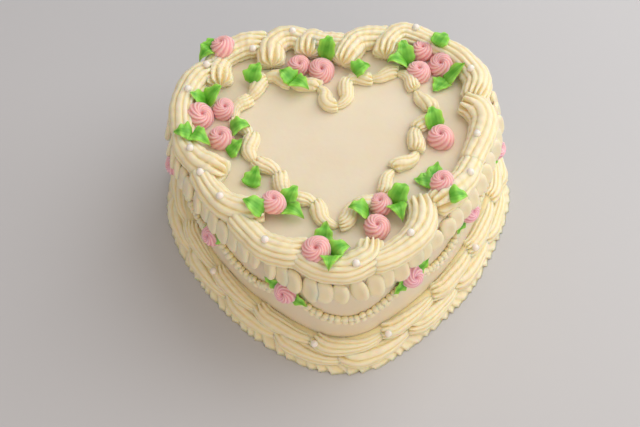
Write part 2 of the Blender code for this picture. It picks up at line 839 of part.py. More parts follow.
def make_top_leaves(name, foot, fans, collection):
    leaves = []
    for i, (degrees, length) in enumerate(fans):
        turn = Matrix.Rotation(math.radians(degrees), 4, "Z")
        frame = Matrix.Translation((foot[0] * MM, foot[1] * MM, 0.0)) @ turn
        height_at = draped_height(frame, length * MM, LEAF_LIFT + LEAF_OVERLAP * LEAF_THICKNESS * i)
        leaves.append(make_leaf(f"{name}_{i}", length * MM, height_at, frame, collection))
    return fuse(name, leaves)


def posy_frame(where, height):
    """Frame on the wall whose +Z points out of it and whose +Y points up."""
    point, outward = WALL.at(where)
    out = Vector((outward.x, outward.y, 0.0))
    up = Vector((0.0, 0.0, 1.0))
    turn = Matrix((up.cross(out), up, out)).transposed().to_4x4()
    return Matrix.Translation((point.x, point.y, height)) @ turn


def posy_leaf_height(x, y):
    """Height of a posy's leaf over the wall, rising a little to its tip."""
    return POSY_LEAF_LIFT + POSY_LEAF_RISE * x


def make_posy(name, where, height, degrees, collection):
    """Rose with a leaf on each side, fused, on the wall."""
    frame = posy_frame(where, height * MM)
    length = POSY_LEAF_LENGTH
    seat = Matrix.Translation((0.0, 0.0, POSY_ROSE_SEAT * POSY_ROSE_RADIUS))
    foot = Matrix.Translation((POSY_LEAF_FOOT * POSY_ROSE_RADIUS, 0.0, 0.0))
    pieces = [make_rose(name + "_rose", POSY_ROSE_RADIUS, frame @ seat, collection)]
    for i in range(2):
        turn = Matrix.Rotation(math.radians(degrees + 180 * i), 4, "Z")
        place = frame @ turn @ foot
        pieces.append(make_leaf(f"{name}_leaf_{i}", length, posy_leaf_height, place, collection))
    return fuse(name, pieces)


def near(a, b, reach):
    return math.hypot(a[0] - b[0], a[1] - b[1]) < reach


# Assembly

def build():
    clear_scene()
    cake = make_collection("heart_cake")
    cutters = make_collection("cutters")
    nozzle = star_outline(cutters)
    materials = {name: make_material(name) for name in COLOURS}
    finished = []

    def finish(item, material):
        item.data.materials.clear()
        item.data.materials.append(materials[material])
        finished.append(item)

    body = make_body("cake_body", cake)
    finish(body, "icing")
    body_room = make_body("body_room", cutters, GROWTH)
    slab = make_slab("below_border", 0.0, BORDER_FOOT_Z, cutters)

    border = make_top_border("top_border", nozzle, cake)
    cut(border, [body_room, slab])
    finish(border, "piping")
    border_room = make_top_border("border_room", nozzle, cutters, GROWTH)

    inner = make_inner_heart("inner_heart_border", cake)
    cut(inner, [border_room])
    finish(inner, "piping")
    inner_room = make_inner_heart("inner_room", cutters, GROWTH)

    finish(make_ruffle("ruffle", cake), "piping")
    finish(make_garland("garland", cake), "piping")
    ruffle_room = make_ruffle("ruffle_room", cutters, GROWTH)
    garland_room = make_garland("garland_room", cutters, GROWTH)

    finish(make_foot_lower("foot_lower", cake), "piping")
    joints = [(i + 1 - UPPER_PHASE) / FOOT_SHELLS for i in range(0, FOOT_SHELLS, 2)]
    upper = make_foot_upper("foot_upper", cake)
    upper = fuse("foot_upper", [upper] + foot_pearls("foot_pearl", joints, cake))
    finish(upper, "piping")

    rose_rooms = []
    for i, (x, y, radius, tilt) in enumerate(TOP_ROSES):
        frame = top_rose_frame(x, y, radius, tilt)
        rose = make_rose(f"rose_{i + 1:02d}", radius * MM, frame, cake)
        rooms = [room for where, size, room in rose_rooms if near(where, (x, y), size + radius + ROSE_ROOM)]
        cut(rose, [body_room, border_room, inner_room] + rooms)
        finish(rose, "rose_pink")
        room = make_rose(f"rose_room_{i + 1:02d}", radius * MM + GROWTH, frame, cutters)
        rose_rooms.append(((x, y), radius, room))

    for i, (foot, fans) in enumerate(TOP_LEAVES):
        leaf = make_top_leaves(f"leaf_{i + 1:02d}", foot, fans, cake)
        rooms = [room for where, size, room in rose_rooms if near(where, foot, size + LEAF_ROOM)]
        cut(leaf, [body_room, border_room, inner_room] + rooms)
        finish(leaf, "leaf_green")

    for i, (where, height, degrees) in enumerate(POSIES):
        posy = make_posy(f"posy_{i + 1:02d}", where, height, degrees, cake)
        cut(posy, [body_room, garland_room, ruffle_room])
        finish(posy, "rose_pink")

    for item in list(cutters.objects):
        bpy.data.objects.remove(item, do_unlink=True)
    for item in finished:
        item.data.shade_smooth()
        item.data.set_sharp_from_angle(angle=math.radians(35))


build()
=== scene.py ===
"""Looks of a heart shaped buttercream cake: piped scrolls, shells, ruffle, roses, leaves and pearls.

Everything is in metres in the cake's own frame: +Z up, the heart's tip towards -Y, the origin on
the surface that the cake stands on.
"""
from __future__ import annotations

import logging
import math
from dataclasses import dataclass, replace
from enum import Enum
from functools import cached_property

import bmesh
import bpy
import numpy as np
from mathutils import Matrix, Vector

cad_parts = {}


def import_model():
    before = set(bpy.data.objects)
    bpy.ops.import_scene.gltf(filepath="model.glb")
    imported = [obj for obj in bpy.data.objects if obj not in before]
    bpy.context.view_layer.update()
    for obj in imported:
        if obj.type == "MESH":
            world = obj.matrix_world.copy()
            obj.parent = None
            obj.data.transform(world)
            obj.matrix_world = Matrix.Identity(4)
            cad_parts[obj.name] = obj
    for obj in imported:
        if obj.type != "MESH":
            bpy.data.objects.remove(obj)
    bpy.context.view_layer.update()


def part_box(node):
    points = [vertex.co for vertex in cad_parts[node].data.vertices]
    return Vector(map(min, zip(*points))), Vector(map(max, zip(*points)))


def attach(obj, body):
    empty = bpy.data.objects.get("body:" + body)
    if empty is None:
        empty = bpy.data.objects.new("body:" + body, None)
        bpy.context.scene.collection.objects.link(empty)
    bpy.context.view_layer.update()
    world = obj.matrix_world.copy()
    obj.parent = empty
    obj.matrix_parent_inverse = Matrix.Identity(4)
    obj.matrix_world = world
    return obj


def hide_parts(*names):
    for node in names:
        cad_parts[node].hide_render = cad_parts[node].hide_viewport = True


Array = np.ndarray
MM = 0.001
TURN = 2.0 * math.pi
LOG = logging.getLogger("heart_cake")
BODY = "root"

# Points worked out for each key of a smooth curve
CURVE_STEPS = 12

# Least square of the radius factor where a bead closes, so that its last ring keeps some width
LAST_RING = 0.004


class Slot(Enum):
    """Material slots of the record."""

    ICING = "icing"
    PIPING = "piping"
    ROSE = "rose_pink"
    LEAF = "leaf_green"


# Shapes worked out as whole arrays

@dataclass(frozen=True)
class Surface:
    """Points and faces of one or more closed skins.

    crest is 1 on top of a ridge and 0 at the bottom of a groove, for each point. The finishes paint shade by
    it: the lower it is, the darker.
    """

    points: Array
    quads: Array
    triangles: Array
    crest: Array


def unit(vectors: Array) -> Array:
    """Vectors divided by their lengths."""
    return vectors / np.linalg.norm(vectors, axis=-1, keepdims=True)


def skins(points: Array, crest: Array) -> Surface:
    """Closed skins over rings of points, one skin for each entry of the first axis.

    Ring r and ring r + 1 are joined by quads, and the first and last rings by fans of triangles
    to the mean of the ring.

    Args:
        points: shape (skins, rings, points round a ring, 3).
        crest: shape (skins, rings, points round a ring).

    Returns:
        The skins as one surface.
    """
    count, rings, around, _ = points.shape
    size = rings * around + 2
    start = (np.arange(count) * size)[:, None, None]
    ring = np.arange(rings)[None, :, None] * around
    here = np.arange(around)[None, None, :]
    after = (here + 1) % around
    low, high = start + ring[:, :-1], start + ring[:, 1:]
    quads = np.stack([low + here, high + here, high + after, low + after], axis=-1).reshape(-1, 4)
    first, last = start + 0 * here, start + (rings - 1) * around
    head, tail = start + size - 2, start + size - 1
    fans = [
        np.stack(np.broadcast_arrays(head, first + here, first + after), axis=-1),
        np.stack(np.broadcast_arrays(tail, last + after, last + here), axis=-1),
    ]
    poles = np.stack([points[:, 0].mean(axis=1), points[:, -1].mean(axis=1)], axis=1)
    polar = np.stack([crest[:, 0].mean(axis=1), crest[:, -1].mean(axis=1)], axis=1)
    flat = np.concatenate([points.reshape(count, -1, 3), poles], axis=1).reshape(-1, 3)
    shade = np.concatenate([crest.reshape(count, -1), polar], axis=1).ravel()
    return Surface(flat, quads, np.concatenate(fans).reshape(-1, 3), shade)


def smooth_curve(keys: Array, shares: Array) -> Array:
    """Points on a Catmull-Rom curve, which blends four keys at a time by cubics.

    Args:
        keys: the points that the curve goes through, shape (keys, 3).
        shares: where along its length to return points, from 0 to 1.

    Returns:
        Points of shape (shares, 3).
    """
    ends = np.concatenate([[2 * keys[0] - keys[1]], keys, [2 * keys[-1] - keys[-2]]])
    along = np.linspace(0.0, len(keys) - 1.0, CURVE_STEPS * len(keys))
    span = np.minimum(along.astype(int), len(keys) - 2)
    t = (along - span)[:, None]
    a, b, c, d = (ends[span + k] for k in range(4))
    path = 0.5 * (2 * b + (c - a) * t + (2 * a - 5 * b + 4 * c - d) * t ** 2
                  + (3 * b - a - 3 * c + d) * t ** 3)
    walked = walk(path)
    return np.stack([np.interp(shares * walked[-1], walked, path[:, k]) for k in range(3)], axis=1)


def walk(path: Array) -> Array:
    """Distance walked along a path at each of its points."""
    return np.concatenate([[0.0], np.cumsum(np.linalg.norm(np.diff(path, axis=0), axis=1))])


def axes_across(path: Array) -> tuple[Array, Array]:
    """Sideways and upward directions along a path that runs more or less level."""
    forward = unit(np.gradient(path, axis=0))
    side = unit(np.cross(forward, np.array([0.0, 0.0, 1.0])))
    return side, np.cross(side, forward)


@dataclass(frozen=True)
class StarNozzle:
    """Open star nozzle: the ridges round the bead, their depth and how far they turn along it.

    Over the finger's length at the head the ridges stand apart, each with a round end as long as
    the tip, and core is the share of the radius that fills the middle there.
    """

    ridges: int
    depth: float
    turns: float = 0.0
    finger: float = 6.0 * MM
    tip: float = 2.0 * MM
    core: float = 0.45
    slimming: float = 0.36
    samples: int = 8
    crowding: tuple[float, float] = (0.80, 0.60)
    depth_ripple: float = 0.45
    long_wave: float = 0.022
    long_repeats: float = 3.1
    short_wave: float = 0.016
    short_repeats: float = 8.3

    def pipe(self, path: Array, radii: Array, seed: int, width: float = 1.0) -> tuple[Array, Array]:
        """Rings of one bead piped along a path.

        Across a ridge x runs from 0 on its crest to 1 in the groove, and the ring's radius is
        R (f + (1 - f) sqrt(1 - (x / b)^2 - t^2)). The groove's floor f is 1 - depth, and nearer the
        head it sinks to the core. The breadth b is 1 and slims there, and t runs from 1 to 0 over
        the tip. Sines of the angle crowd the ridges and ripple their depth, and a long and a short
        wave along the bead swell its radius.

        Args:
            path: middle line from head to tail, shape (rings, 3).
            radii: the bead's radius at each point of the path.
            seed: seed of the hand made unevenness.
            width: how much wider than high the bead is.

        Returns:
            Ring points (rings, points, 3) and their crest values (rings, points), by which the finish
            paints shade in the grooves.
        """
        rng = np.random.default_rng(seed)
        walked = walk(path)[:, None]
        along = walked / walked[-1]
        angle = np.linspace(0.0, TURN, self.ridges * self.samples, endpoint=False)[None, :]
        shift = rng.uniform(0.0, TURN, 5)
        once, twice = self.crowding
        uneven = once * np.sin(angle + shift[0] + along) + twice * np.sin(2 * angle + shift[1] - 2 * along)
        phase = self.ridges * (angle / 2 + math.pi * self.turns * along) + uneven
        across = np.arccos(np.abs(np.cos(phase))) / (math.pi / 2)
        depth = self.depth * (1.0 + self.depth_ripple * np.sin(3 * angle + shift[2] + 4 * along))
        ahead = np.clip(1.0 - walked / self.finger, 0.0, 1.0)
        blunt = np.clip(1.0 - walked / self.tip, 0.0, 1.0)
        across = across / (1.0 - self.slimming * ahead)
        ridge = np.sqrt(np.clip(1.0 - blunt ** 2 - across ** 2, 0.0, 1.0))
        ground = (1.0 - depth) * (1.0 - (1.0 - self.core) * ahead) * np.sqrt(1.0 - blunt ** 2)
        wave = (self.long_wave * np.sin(TURN * self.long_repeats * along + shift[3] + 2 * angle)
                + self.short_wave * np.sin(TURN * self.short_repeats * along + shift[4] - 3 * angle))
        reach = radii[:, None] * (ground + (1.0 - ground) * ridge) * (1.0 + wave)
        # Crest value, 1 on a ridge and 0 in a groove: the finish paints shade in the grooves by it
        crest = np.cos(math.pi / 2 * np.minimum(across, 1.0))
        side, up = axes_across(path)
        points = path[:, None, :] + side[:, None, :] * (width * reach * np.cos(angle))[..., None]
        return points + up[:, None, :] * (reach * np.sin(angle))[..., None], crest


def closing(along: Array, share: float) -> Array:
    """Radius factors of a bead whose tail closes as a quarter ellipse over a share of its length."""
    left = np.clip((1.0 - along) / share, 0.0, 1.0)
    return np.sqrt(np.maximum(1.0 - (1.0 - left) ** 2, LAST_RING))


def shell_swell(along: Array, least: float, stretch: float, lead: float, lean: float) -> Array:
    """Fullness of a piped shell, which rises quickly and then falls slowly.

    It is least + (1 - least) sin(pi (stretch a + lead)^lean) at the share a of its length.

    Args:
        along: shares of the shell's length, from 0 at its head to 1 at its tail.
        least: fullness where the sine is 0.
        stretch: how much of the sine's half turn the shell takes.
        lead: where in the half turn it starts.
        lean: below 1 the fullest place moves towards the head.

    Returns:
        Fullness for each share.
    """
    return least + (1.0 - least) * np.sin(math.pi * np.clip(along * stretch + lead, 0.0, 1.0) ** lean)


def pillow(rings: int, around: int, squareness: float) -> Array:
    """Rings of a unit ball whose cosines and sines are raised to a power, which squares it up.

    Args:
        rings: rings from the lower pole to the upper one, along Z.
        around: points in each ring.
        squareness: 1 for a ball, towards 0 for a box.

    Returns:
        Points of shape (rings, around, 3).
    """
    def power(value: Array) -> Array:
        """Value raised to the squareness with its sign kept."""
        return np.sign(value) * np.abs(value) ** squareness

    high = np.linspace(-math.pi / 2, math.pi / 2, rings + 2)[1:-1, None]
    round_ = np.linspace(0.0, TURN, around, endpoint=False)[None, :]
    level = power(np.cos(high))
    return np.stack([level * power(np.cos(round_)), level * power(np.sin(round_)),
                     power(np.sin(high)) + 0 * round_], axis=-1)


def spread(shape: Array, centres: Array, frames: Array, sizes: Array) -> Array:
    """Copies of a ringed shape: each is scaled, turned by its frame's rows and moved.

    Args:
        shape: rings of a unit shape, (rings, around, 3).
        centres: (copies, 3).
        frames: directions of the shape's X, Y and Z in the cake's frame, (copies, 3, 3).
        sizes: half sizes along the shape's own axes, (copies, 3).

    Returns:
        Points of shape (copies, rings, around, 3).
    """
    scaled = shape[None] * sizes[:, None, None, :]
    return np.einsum("nrcj,njk->nrck", scaled, frames) + centres[:, None, None, :]


def ripple(values: Array, times: tuple[int, ...], shifts: tuple[float, ...]) -> Array:
    """Mean of sines that each repeat a whole number of times over values from 0 to 1."""
    waves = [np.sin(TURN * n * values + shift) for n, shift in zip(times, shifts)]
    return np.mean(waves, axis=0)


# The heart's outline

@dataclass(frozen=True)
class Heart:
    """A closed heart of tangent arcs: a tip, two long flanks, two lobes and a hollow cleft."""

    lobe_radius: float
    lobe_x: float
    lobe_y: float
    tip_radius: float
    tip_y: float
    side_radius: float
    cleft_radius: float

    @cached_property
    def arcs(self) -> Array:
        """Rows of centre x, centre y, radius, first angle, last angle and 1 out or -1 in."""
        lobe = np.array([self.lobe_x, self.lobe_y])
        tip = np.array([0.0, self.tip_y])
        to_lobe, to_tip = self.side_radius - self.lobe_radius, self.side_radius - self.tip_radius
        apart = float(np.linalg.norm(tip - lobe))
        along = (tip - lobe) / apart
        near = (to_lobe ** 2 - to_tip ** 2 + apart ** 2) / (2 * apart)
        flank = lobe + along * near + np.array([along[1], -along[0]]) * math.sqrt(to_lobe ** 2 - near ** 2)
        rise = math.sqrt((self.lobe_radius + self.cleft_radius) ** 2 - self.lobe_x ** 2)
        cleft = np.array([0.0, self.lobe_y + rise])

        def turn(vector: Array) -> float:
            """Angle of a direction."""
            return math.atan2(vector[1], vector[0])

        down = -math.pi / 2
        flank_start, lobe_start, cleft_start = turn(tip - flank), turn(lobe - flank), turn(cleft - lobe)
        return np.array([
            [*tip, self.tip_radius, down, flank_start, 1.0],
            [*flank, self.side_radius, flank_start, lobe_start, 1.0],
            [*lobe, self.lobe_radius, lobe_start, cleft_start, 1.0],
            [*cleft, self.cleft_radius, cleft_start - math.pi, down, -1.0],
        ])

    @cached_property
    def ends(self) -> Array:
        """Distance from the tip at which each arc ends."""
        return np.cumsum(self.arcs[:, 2] * np.abs(self.arcs[:, 4] - self.arcs[:, 3]))

    @property
    def length(self) -> float:
        """Length of the whole outline."""
        return 2.0 * float(self.ends[-1])

    def at(self, places: Array) -> tuple[Array, Array]:
        """Points and outward directions at places from 0 to 1, counter-clockwise from the tip."""
        places = np.asarray(places) % 1.0
        mirror = np.where(places > 0.5, -1.0, 1.0)
        left = np.minimum(places, 1.0 - places) * self.length
        index = np.minimum(np.searchsorted(self.ends, left), len(self.ends) - 1)
        begun = np.concatenate([[0.0], self.ends[:-1]])[index]
        x, y, radius, first, last, facing = np.moveaxis(self.arcs[index], -1, 0)
        turn = first + np.sign(last - first) * (left - begun) / radius
        ray = np.stack([np.cos(turn), np.sin(turn)], axis=-1)
        point = np.stack([x, y], axis=-1) + ray * radius[..., None]
        flip = np.stack([mirror, np.ones_like(mirror)], axis=-1)
        return point * flip, ray * facing[..., None] * flip

    def place(self, places: Array, out: Array | float, height: Array | float) -> Array:
        """Points a distance outside the outline, at a height."""
        point, outward = self.at(places)
        level = point + outward * np.broadcast_to(out, np.shape(places))[..., None]
        high = np.broadcast_to(height, np.shape(places))[..., None]
        return np.concatenate([level, high], axis=-1)

    def frames(self, places: Array) -> Array:
        """Directions along the outline, outward and up, as the rows of a frame for each place."""
        _, outward = self.at(places)
        zero = np.zeros(outward.shape[:-1] + (1,))
        out = np.concatenate([outward, zero], axis=-1)
        up = np.zeros_like(out)
        up[..., 2] = 1.0
        return np.stack([np.cross(out, up), out, up], axis=-2)


# The foot rounds the cleft more widely than the wall above it
WALL = Heart(lobe_radius=0.0680, lobe_x=0.0380, lobe_y=0.0284, tip_radius=0.0385, tip_y=-0.0580,
             side_radius=0.1800, cleft_radius=0.0100)
FOOT_LINE = replace(WALL, cleft_radius=0.0300)
SMALL_HEART = Heart(lobe_radius=0.0290, lobe_x=0.0330, lobe_y=0.0305, tip_radius=0.0100, tip_y=-0.0440,
                    side_radius=0.1500, cleft_radius=0.0070)


# Finishes

def hex_colour(code: str) -> tuple[float, float, float, float]:
    """Linear colour of an sRGB hex code: c / 12.92 below 0.04045, else ((c + 0.055) / 1.055) ^ 2.4."""
    parts = [int(code[i:i + 2], 16) / 255 for i in (1, 3, 5)]
    linear = [c / 12.92 if c <= 0.04045 else ((c + 0.055) / 1.055) ** 2.4 for c in parts]
    return (*linear, 1.0)


def add_node(
    tree: bpy.types.NodeTree,
    kind: str,
    options: dict[str, object] | None = None,
    values: dict[str | int, object] | None = None,
    links: dict[str | int, bpy.types.NodeSocket] | None = None,
) -> bpy.types.Node:
    """Adds a node, sets its options and socket values, and links sockets into it.

    Args:
        tree: the material's node tree.
        kind: the node's type name.
        options: attributes of the node.
        values: default values by input.
        links: output sockets by the input that they feed.

    Returns:
        The new node.
    """
    node = tree.nodes.new(kind)
    for name, value in (options or {}).items():
        setattr(node, name, value)
    for name, value in (values or {}).items():
        node.inputs[name].default_value = value
    for name, socket in (links or {}).items():
        tree.links.new(socket, node.inputs[name])
    return node


@dataclass(frozen=True)
class Buttercream:
    """Whipped butter and sugar: pale, faintly translucent, with a soft fatty sheen.

    The groove colour is painted shade: where the crest value is low, in grooves, folds and hollows,
    the cream is painted darker and yellower than the ridge colour. It stands for the shade in them
    and for the light that scatters in them and picks up more of the butter. A slow mottle stands for
    uneven mixing, and a fine grain for sugar. Light goes furthest into the fat in red and least in
    blue, and 1.46 is the fat's refractive index.
    """

    name: str
    ridge: str
    groove: str
    mottle: str
    roughness: float = 0.42
    translucency: float = 0.60
    depth: float = 3.2 * MM
    mottle_size: float = 14 * MM
    grain_size: float = 0.9 * MM
    grain_height: float = 0.06 * MM
    grain_strength: float = 0.6
    groove_end: float = 0.05
    ridge_start: float = 0.80
    mottle_range: tuple[float, float] = (0.42, 0.75)
    mottle_share: float = 0.55
    index: float = 1.46
    scattering: tuple[float, float, float] = (1.0, 0.62, 0.30)

    def material(self) -> bpy.types.Material:
        """Builds the node material."""
        made = bpy.data.materials.new(self.name)
        made.use_nodes = True
        tree = made.node_tree
        shader = tree.nodes["Principled BSDF"]
        space = add_node(tree, "ShaderNodeTexCoord").outputs["Object"]
        # Painted shade: the crest value mixes the groove colour, which is painted shade, into the ridge
        # colour
        crest = add_node(tree, "ShaderNodeAttribute", {"attribute_name": "crest"}).outputs["Fac"]
        ramp = add_node(tree, "ShaderNodeValToRGB", links={"Fac": crest})
        ramp.color_ramp.elements[0].position = self.groove_end
        ramp.color_ramp.elements[0].color = hex_colour(self.groove)
        ramp.color_ramp.elements[1].position = self.ridge_start
        ramp.color_ramp.elements[1].color = hex_colour(self.ridge)
        clouds = add_node(tree, "ShaderNodeTexNoise", values={"Scale": 1 / self.mottle_size, "Detail": 3.0},
                          links={"Vector": space})
        low, high = self.mottle_range
        spread_out = {"From Min": low, "From Max": high, "To Min": 0.0, "To Max": self.mottle_share}
        share = add_node(tree, "ShaderNodeMapRange", values=spread_out,
                         links={"Value": clouds.outputs["Fac"]})
        blend = add_node(tree, "ShaderNodeMix", {"data_type": "RGBA"}, {7: hex_colour(self.mottle)},
                         {0: share.outputs["Result"], 6: ramp.outputs["Color"]})
        grain = add_node(tree, "ShaderNodeTexNoise", values={"Scale": 1 / self.grain_size, "Detail": 2.0},
                         links={"Vector": space})
        bump = add_node(tree, "ShaderNodeBump",
                        values={"Distance": self.grain_height, "Strength": self.grain_strength},
                        links={"Height": grain.outputs["Fac"]})
        tree.links.new(blend.outputs[2], shader.inputs["Base Color"])
        tree.links.new(bump.outputs["Normal"], shader.inputs["Normal"])
        shader.inputs["Roughness"].default_value = self.roughness
        shader.inputs["IOR"].default_value = self.index
        shader.inputs["Subsurface Weight"].default_value = self.translucency
        shader.inputs["Subsurface Radius"].default_value = self.scattering
        shader.inputs["Subsurface Scale"].default_value = self.depth
        return made


@dataclass(frozen=True)
class SugarPearl:
    """Sugar bead under a thin pearly glaze: off-white, with a bright soft highlight."""

    name: str
    colour: str
    veil: str
    veil_size: float = 1.5 * MM
    roughness: float = 0.22
    glaze: float = 0.6
    glaze_roughness: float = 0.12
    translucency: float = 0.15
    depth: float = 1.0 * MM

    def material(self) -> bpy.types.Material:
        """Builds the node material."""
        made = bpy.data.materials.new(self.name)
        made.use_nodes = True
        tree = made.node_tree
        shader = tree.nodes["Principled BSDF"]
        space = add_node(tree, "ShaderNodeTexCoord").outputs["Object"]
        veil = add_node(tree, "ShaderNodeTexNoise", values={"Scale": 1 / self.veil_size},
                        links={"Vector": space})
        ramp = add_node(tree, "ShaderNodeValToRGB", links={"Fac": veil.outputs["Fac"]})
        ramp.color_ramp.elements[0].color = hex_colour(self.veil)
        ramp.color_ramp.elements[1].color = hex_colour(self.colour)
        tree.links.new(ramp.outputs["Color"], shader.inputs["Base Color"])
        shader.inputs["Roughness"].default_value = self.roughness
        shader.inputs["Coat Weight"].default_value = self.glaze
        shader.inputs["Coat Roughness"].default_value = self.glaze_roughness
        shader.inputs["Subsurface Weight"].default_value = self.translucency
        shader.inputs["Subsurface Scale"].default_value = self.depth
        return made


# Buttercream finishes: name, ridge colour, groove colour (painted shade) and mottle colour
SMOOTH_ICING = Buttercream("smooth_icing", "#EADFC8", "#DECDA6", "#E5D7B8", roughness=0.46,
                           mottle_size=40 * MM, grain_size=5 * MM, grain_height=0.22 * MM)
PIPED_CREAM = Buttercream("piped_cream", "#F1E8CB", "#EFDDA0", "#F0E3BC")
ROSE_CREAM = Buttercream("rose_cream", "#F7C6C6", "#E99A9C", "#F3BBBB", roughness=0.45, mottle_size=6 * MM)
WALL_ROSE_CREAM = Buttercream("wall_rose_cream", "#FACBD3", "#E092A8", "#F2B8C3", roughness=0.45,
                              mottle_size=6 * MM)
LEAF_CREAM = Buttercream("leaf_cream", "#9BE05E", "#58AC26", "#80D048", roughness=0.46, mottle_size=5 * MM)
PEARL_GLAZE = SugarPearl("pearl_glaze", "#FBF6EF", veil="#EDE6DC")


# Pieces

def make_piece(
    name: str,
    surface: Surface,
    material: bpy.types.Material,
    nodes: list[str],
) -> bpy.types.Object:
    """Turns a surface into a smooth shaded piece of the cake that stands for CAD nodes.

    Args:
        name: the piece's name.
        surface: its closed skins.
        material: its finish.
        nodes: the CAD nodes that the piece replaces.

    Returns:
        The piece, riding on the cake's one body.
    """
    mesh = bpy.data.meshes.new(name)
    corners = np.concatenate([surface.quads.ravel(), surface.triangles.ravel()])
    starts = np.concatenate([
        np.arange(len(surface.quads)) * 4,
        4 * len(surface.quads) + np.arange(len(surface.triangles)) * 3,
    ])
    mesh.vertices.add(len(surface.points))
    mesh.vertices.foreach_set("co", surface.points.astype(np.float32).ravel())
    mesh.loops.add(len(corners))
    mesh.loops.foreach_set("vertex_index", corners.astype(np.int32))
    mesh.polygons.add(len(starts))
    mesh.polygons.foreach_set("loop_start", starts.astype(np.int32))
    mesh.update(calc_edges=True)
    shade = mesh.attributes.new("crest", "FLOAT", "POINT")
    shade.data.foreach_set("value", surface.crest.astype(np.float32))
    shape = bmesh.new()
    shape.from_mesh(mesh)
    bmesh.ops.recalc_face_normals(shape, faces=shape.faces[:])
    shape.to_mesh(mesh)
    shape.free()
    mesh.shade_smooth()
    mesh.materials.append(material)
    piece = bpy.data.objects.new(name, mesh)
    bpy.context.scene.collection.objects.link(piece)
    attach(piece, BODY)
    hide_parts(*nodes)
    LOG.info("%s: %d points", name, len(surface.points))
    return piece


@dataclass(frozen=True)
class IcedBody:
    """The cake under its smooth coat of buttercream."""

    height: float
    rounding: float = 5 * MM
    around: int = 420
    wall_rings: int = 26
    edge_rings: int = 8
    top_rings: int = 26
    middle: float = 0.02
    waviness: float = 0.22 * MM
    scrape_pitch: float = 31 * MM
    scrape_share: float = 0.6
    top_pitch: float = 17 * MM
    paleness: float = 0.8

    def surface(self) -> Surface:
        """Rings from the middle of the underside out, up the wall, over the edge and in again.

        The wall and the top wander by a few sines of the place and the height, as a hand held
        scraper leaves them. The middle's rings are the outline shrunk to a small share.
        """
        places = np.linspace(0.0, 1.0, self.around, endpoint=False)
        wave = ripple(places, times=(3, 5, 9), shifts=(0.4, 2.1, 4.0))
        rings = [WALL.place(places, 0.0, 0.0) * [share, share, 1.0] for share in (self.middle, 0.5)]
        for height in np.linspace(0.0, self.height - self.rounding, self.wall_rings):
            scrape = np.sin(TURN * (height / self.scrape_pitch + 2 * places))
            out = self.waviness * (wave + self.scrape_share * scrape) - self.waviness
            rings.append(WALL.place(places, out, height))
        for turn in np.linspace(0.0, math.pi / 2, self.edge_rings)[1:]:
            out = self.rounding * (math.cos(turn) - 1.0) - self.waviness
            rings.append(WALL.place(places, out + self.waviness * wave,
                                    self.height - self.rounding * (1.0 - math.sin(turn))))
        rim = rings[-1]
        for share in np.linspace(1.0, self.middle, self.top_rings)[1:]:
            ring = rim * [share, share, 1.0]
            ring[:, 2] += self.waviness * (1 - share) * np.sin(ring[:, 0] / self.top_pitch)
            ring[:, 2] -= 0.5 * self.waviness
            rings.append(ring)
        points = np.stack(rings)[None]
        return skins(points, np.full(points.shape[:-1], self.paleness))

    def build(self, material: bpy.types.Material) -> None:
        """Makes the piece."""
        make_piece("iced_cake", self.surface(), material, ["cake_body"])


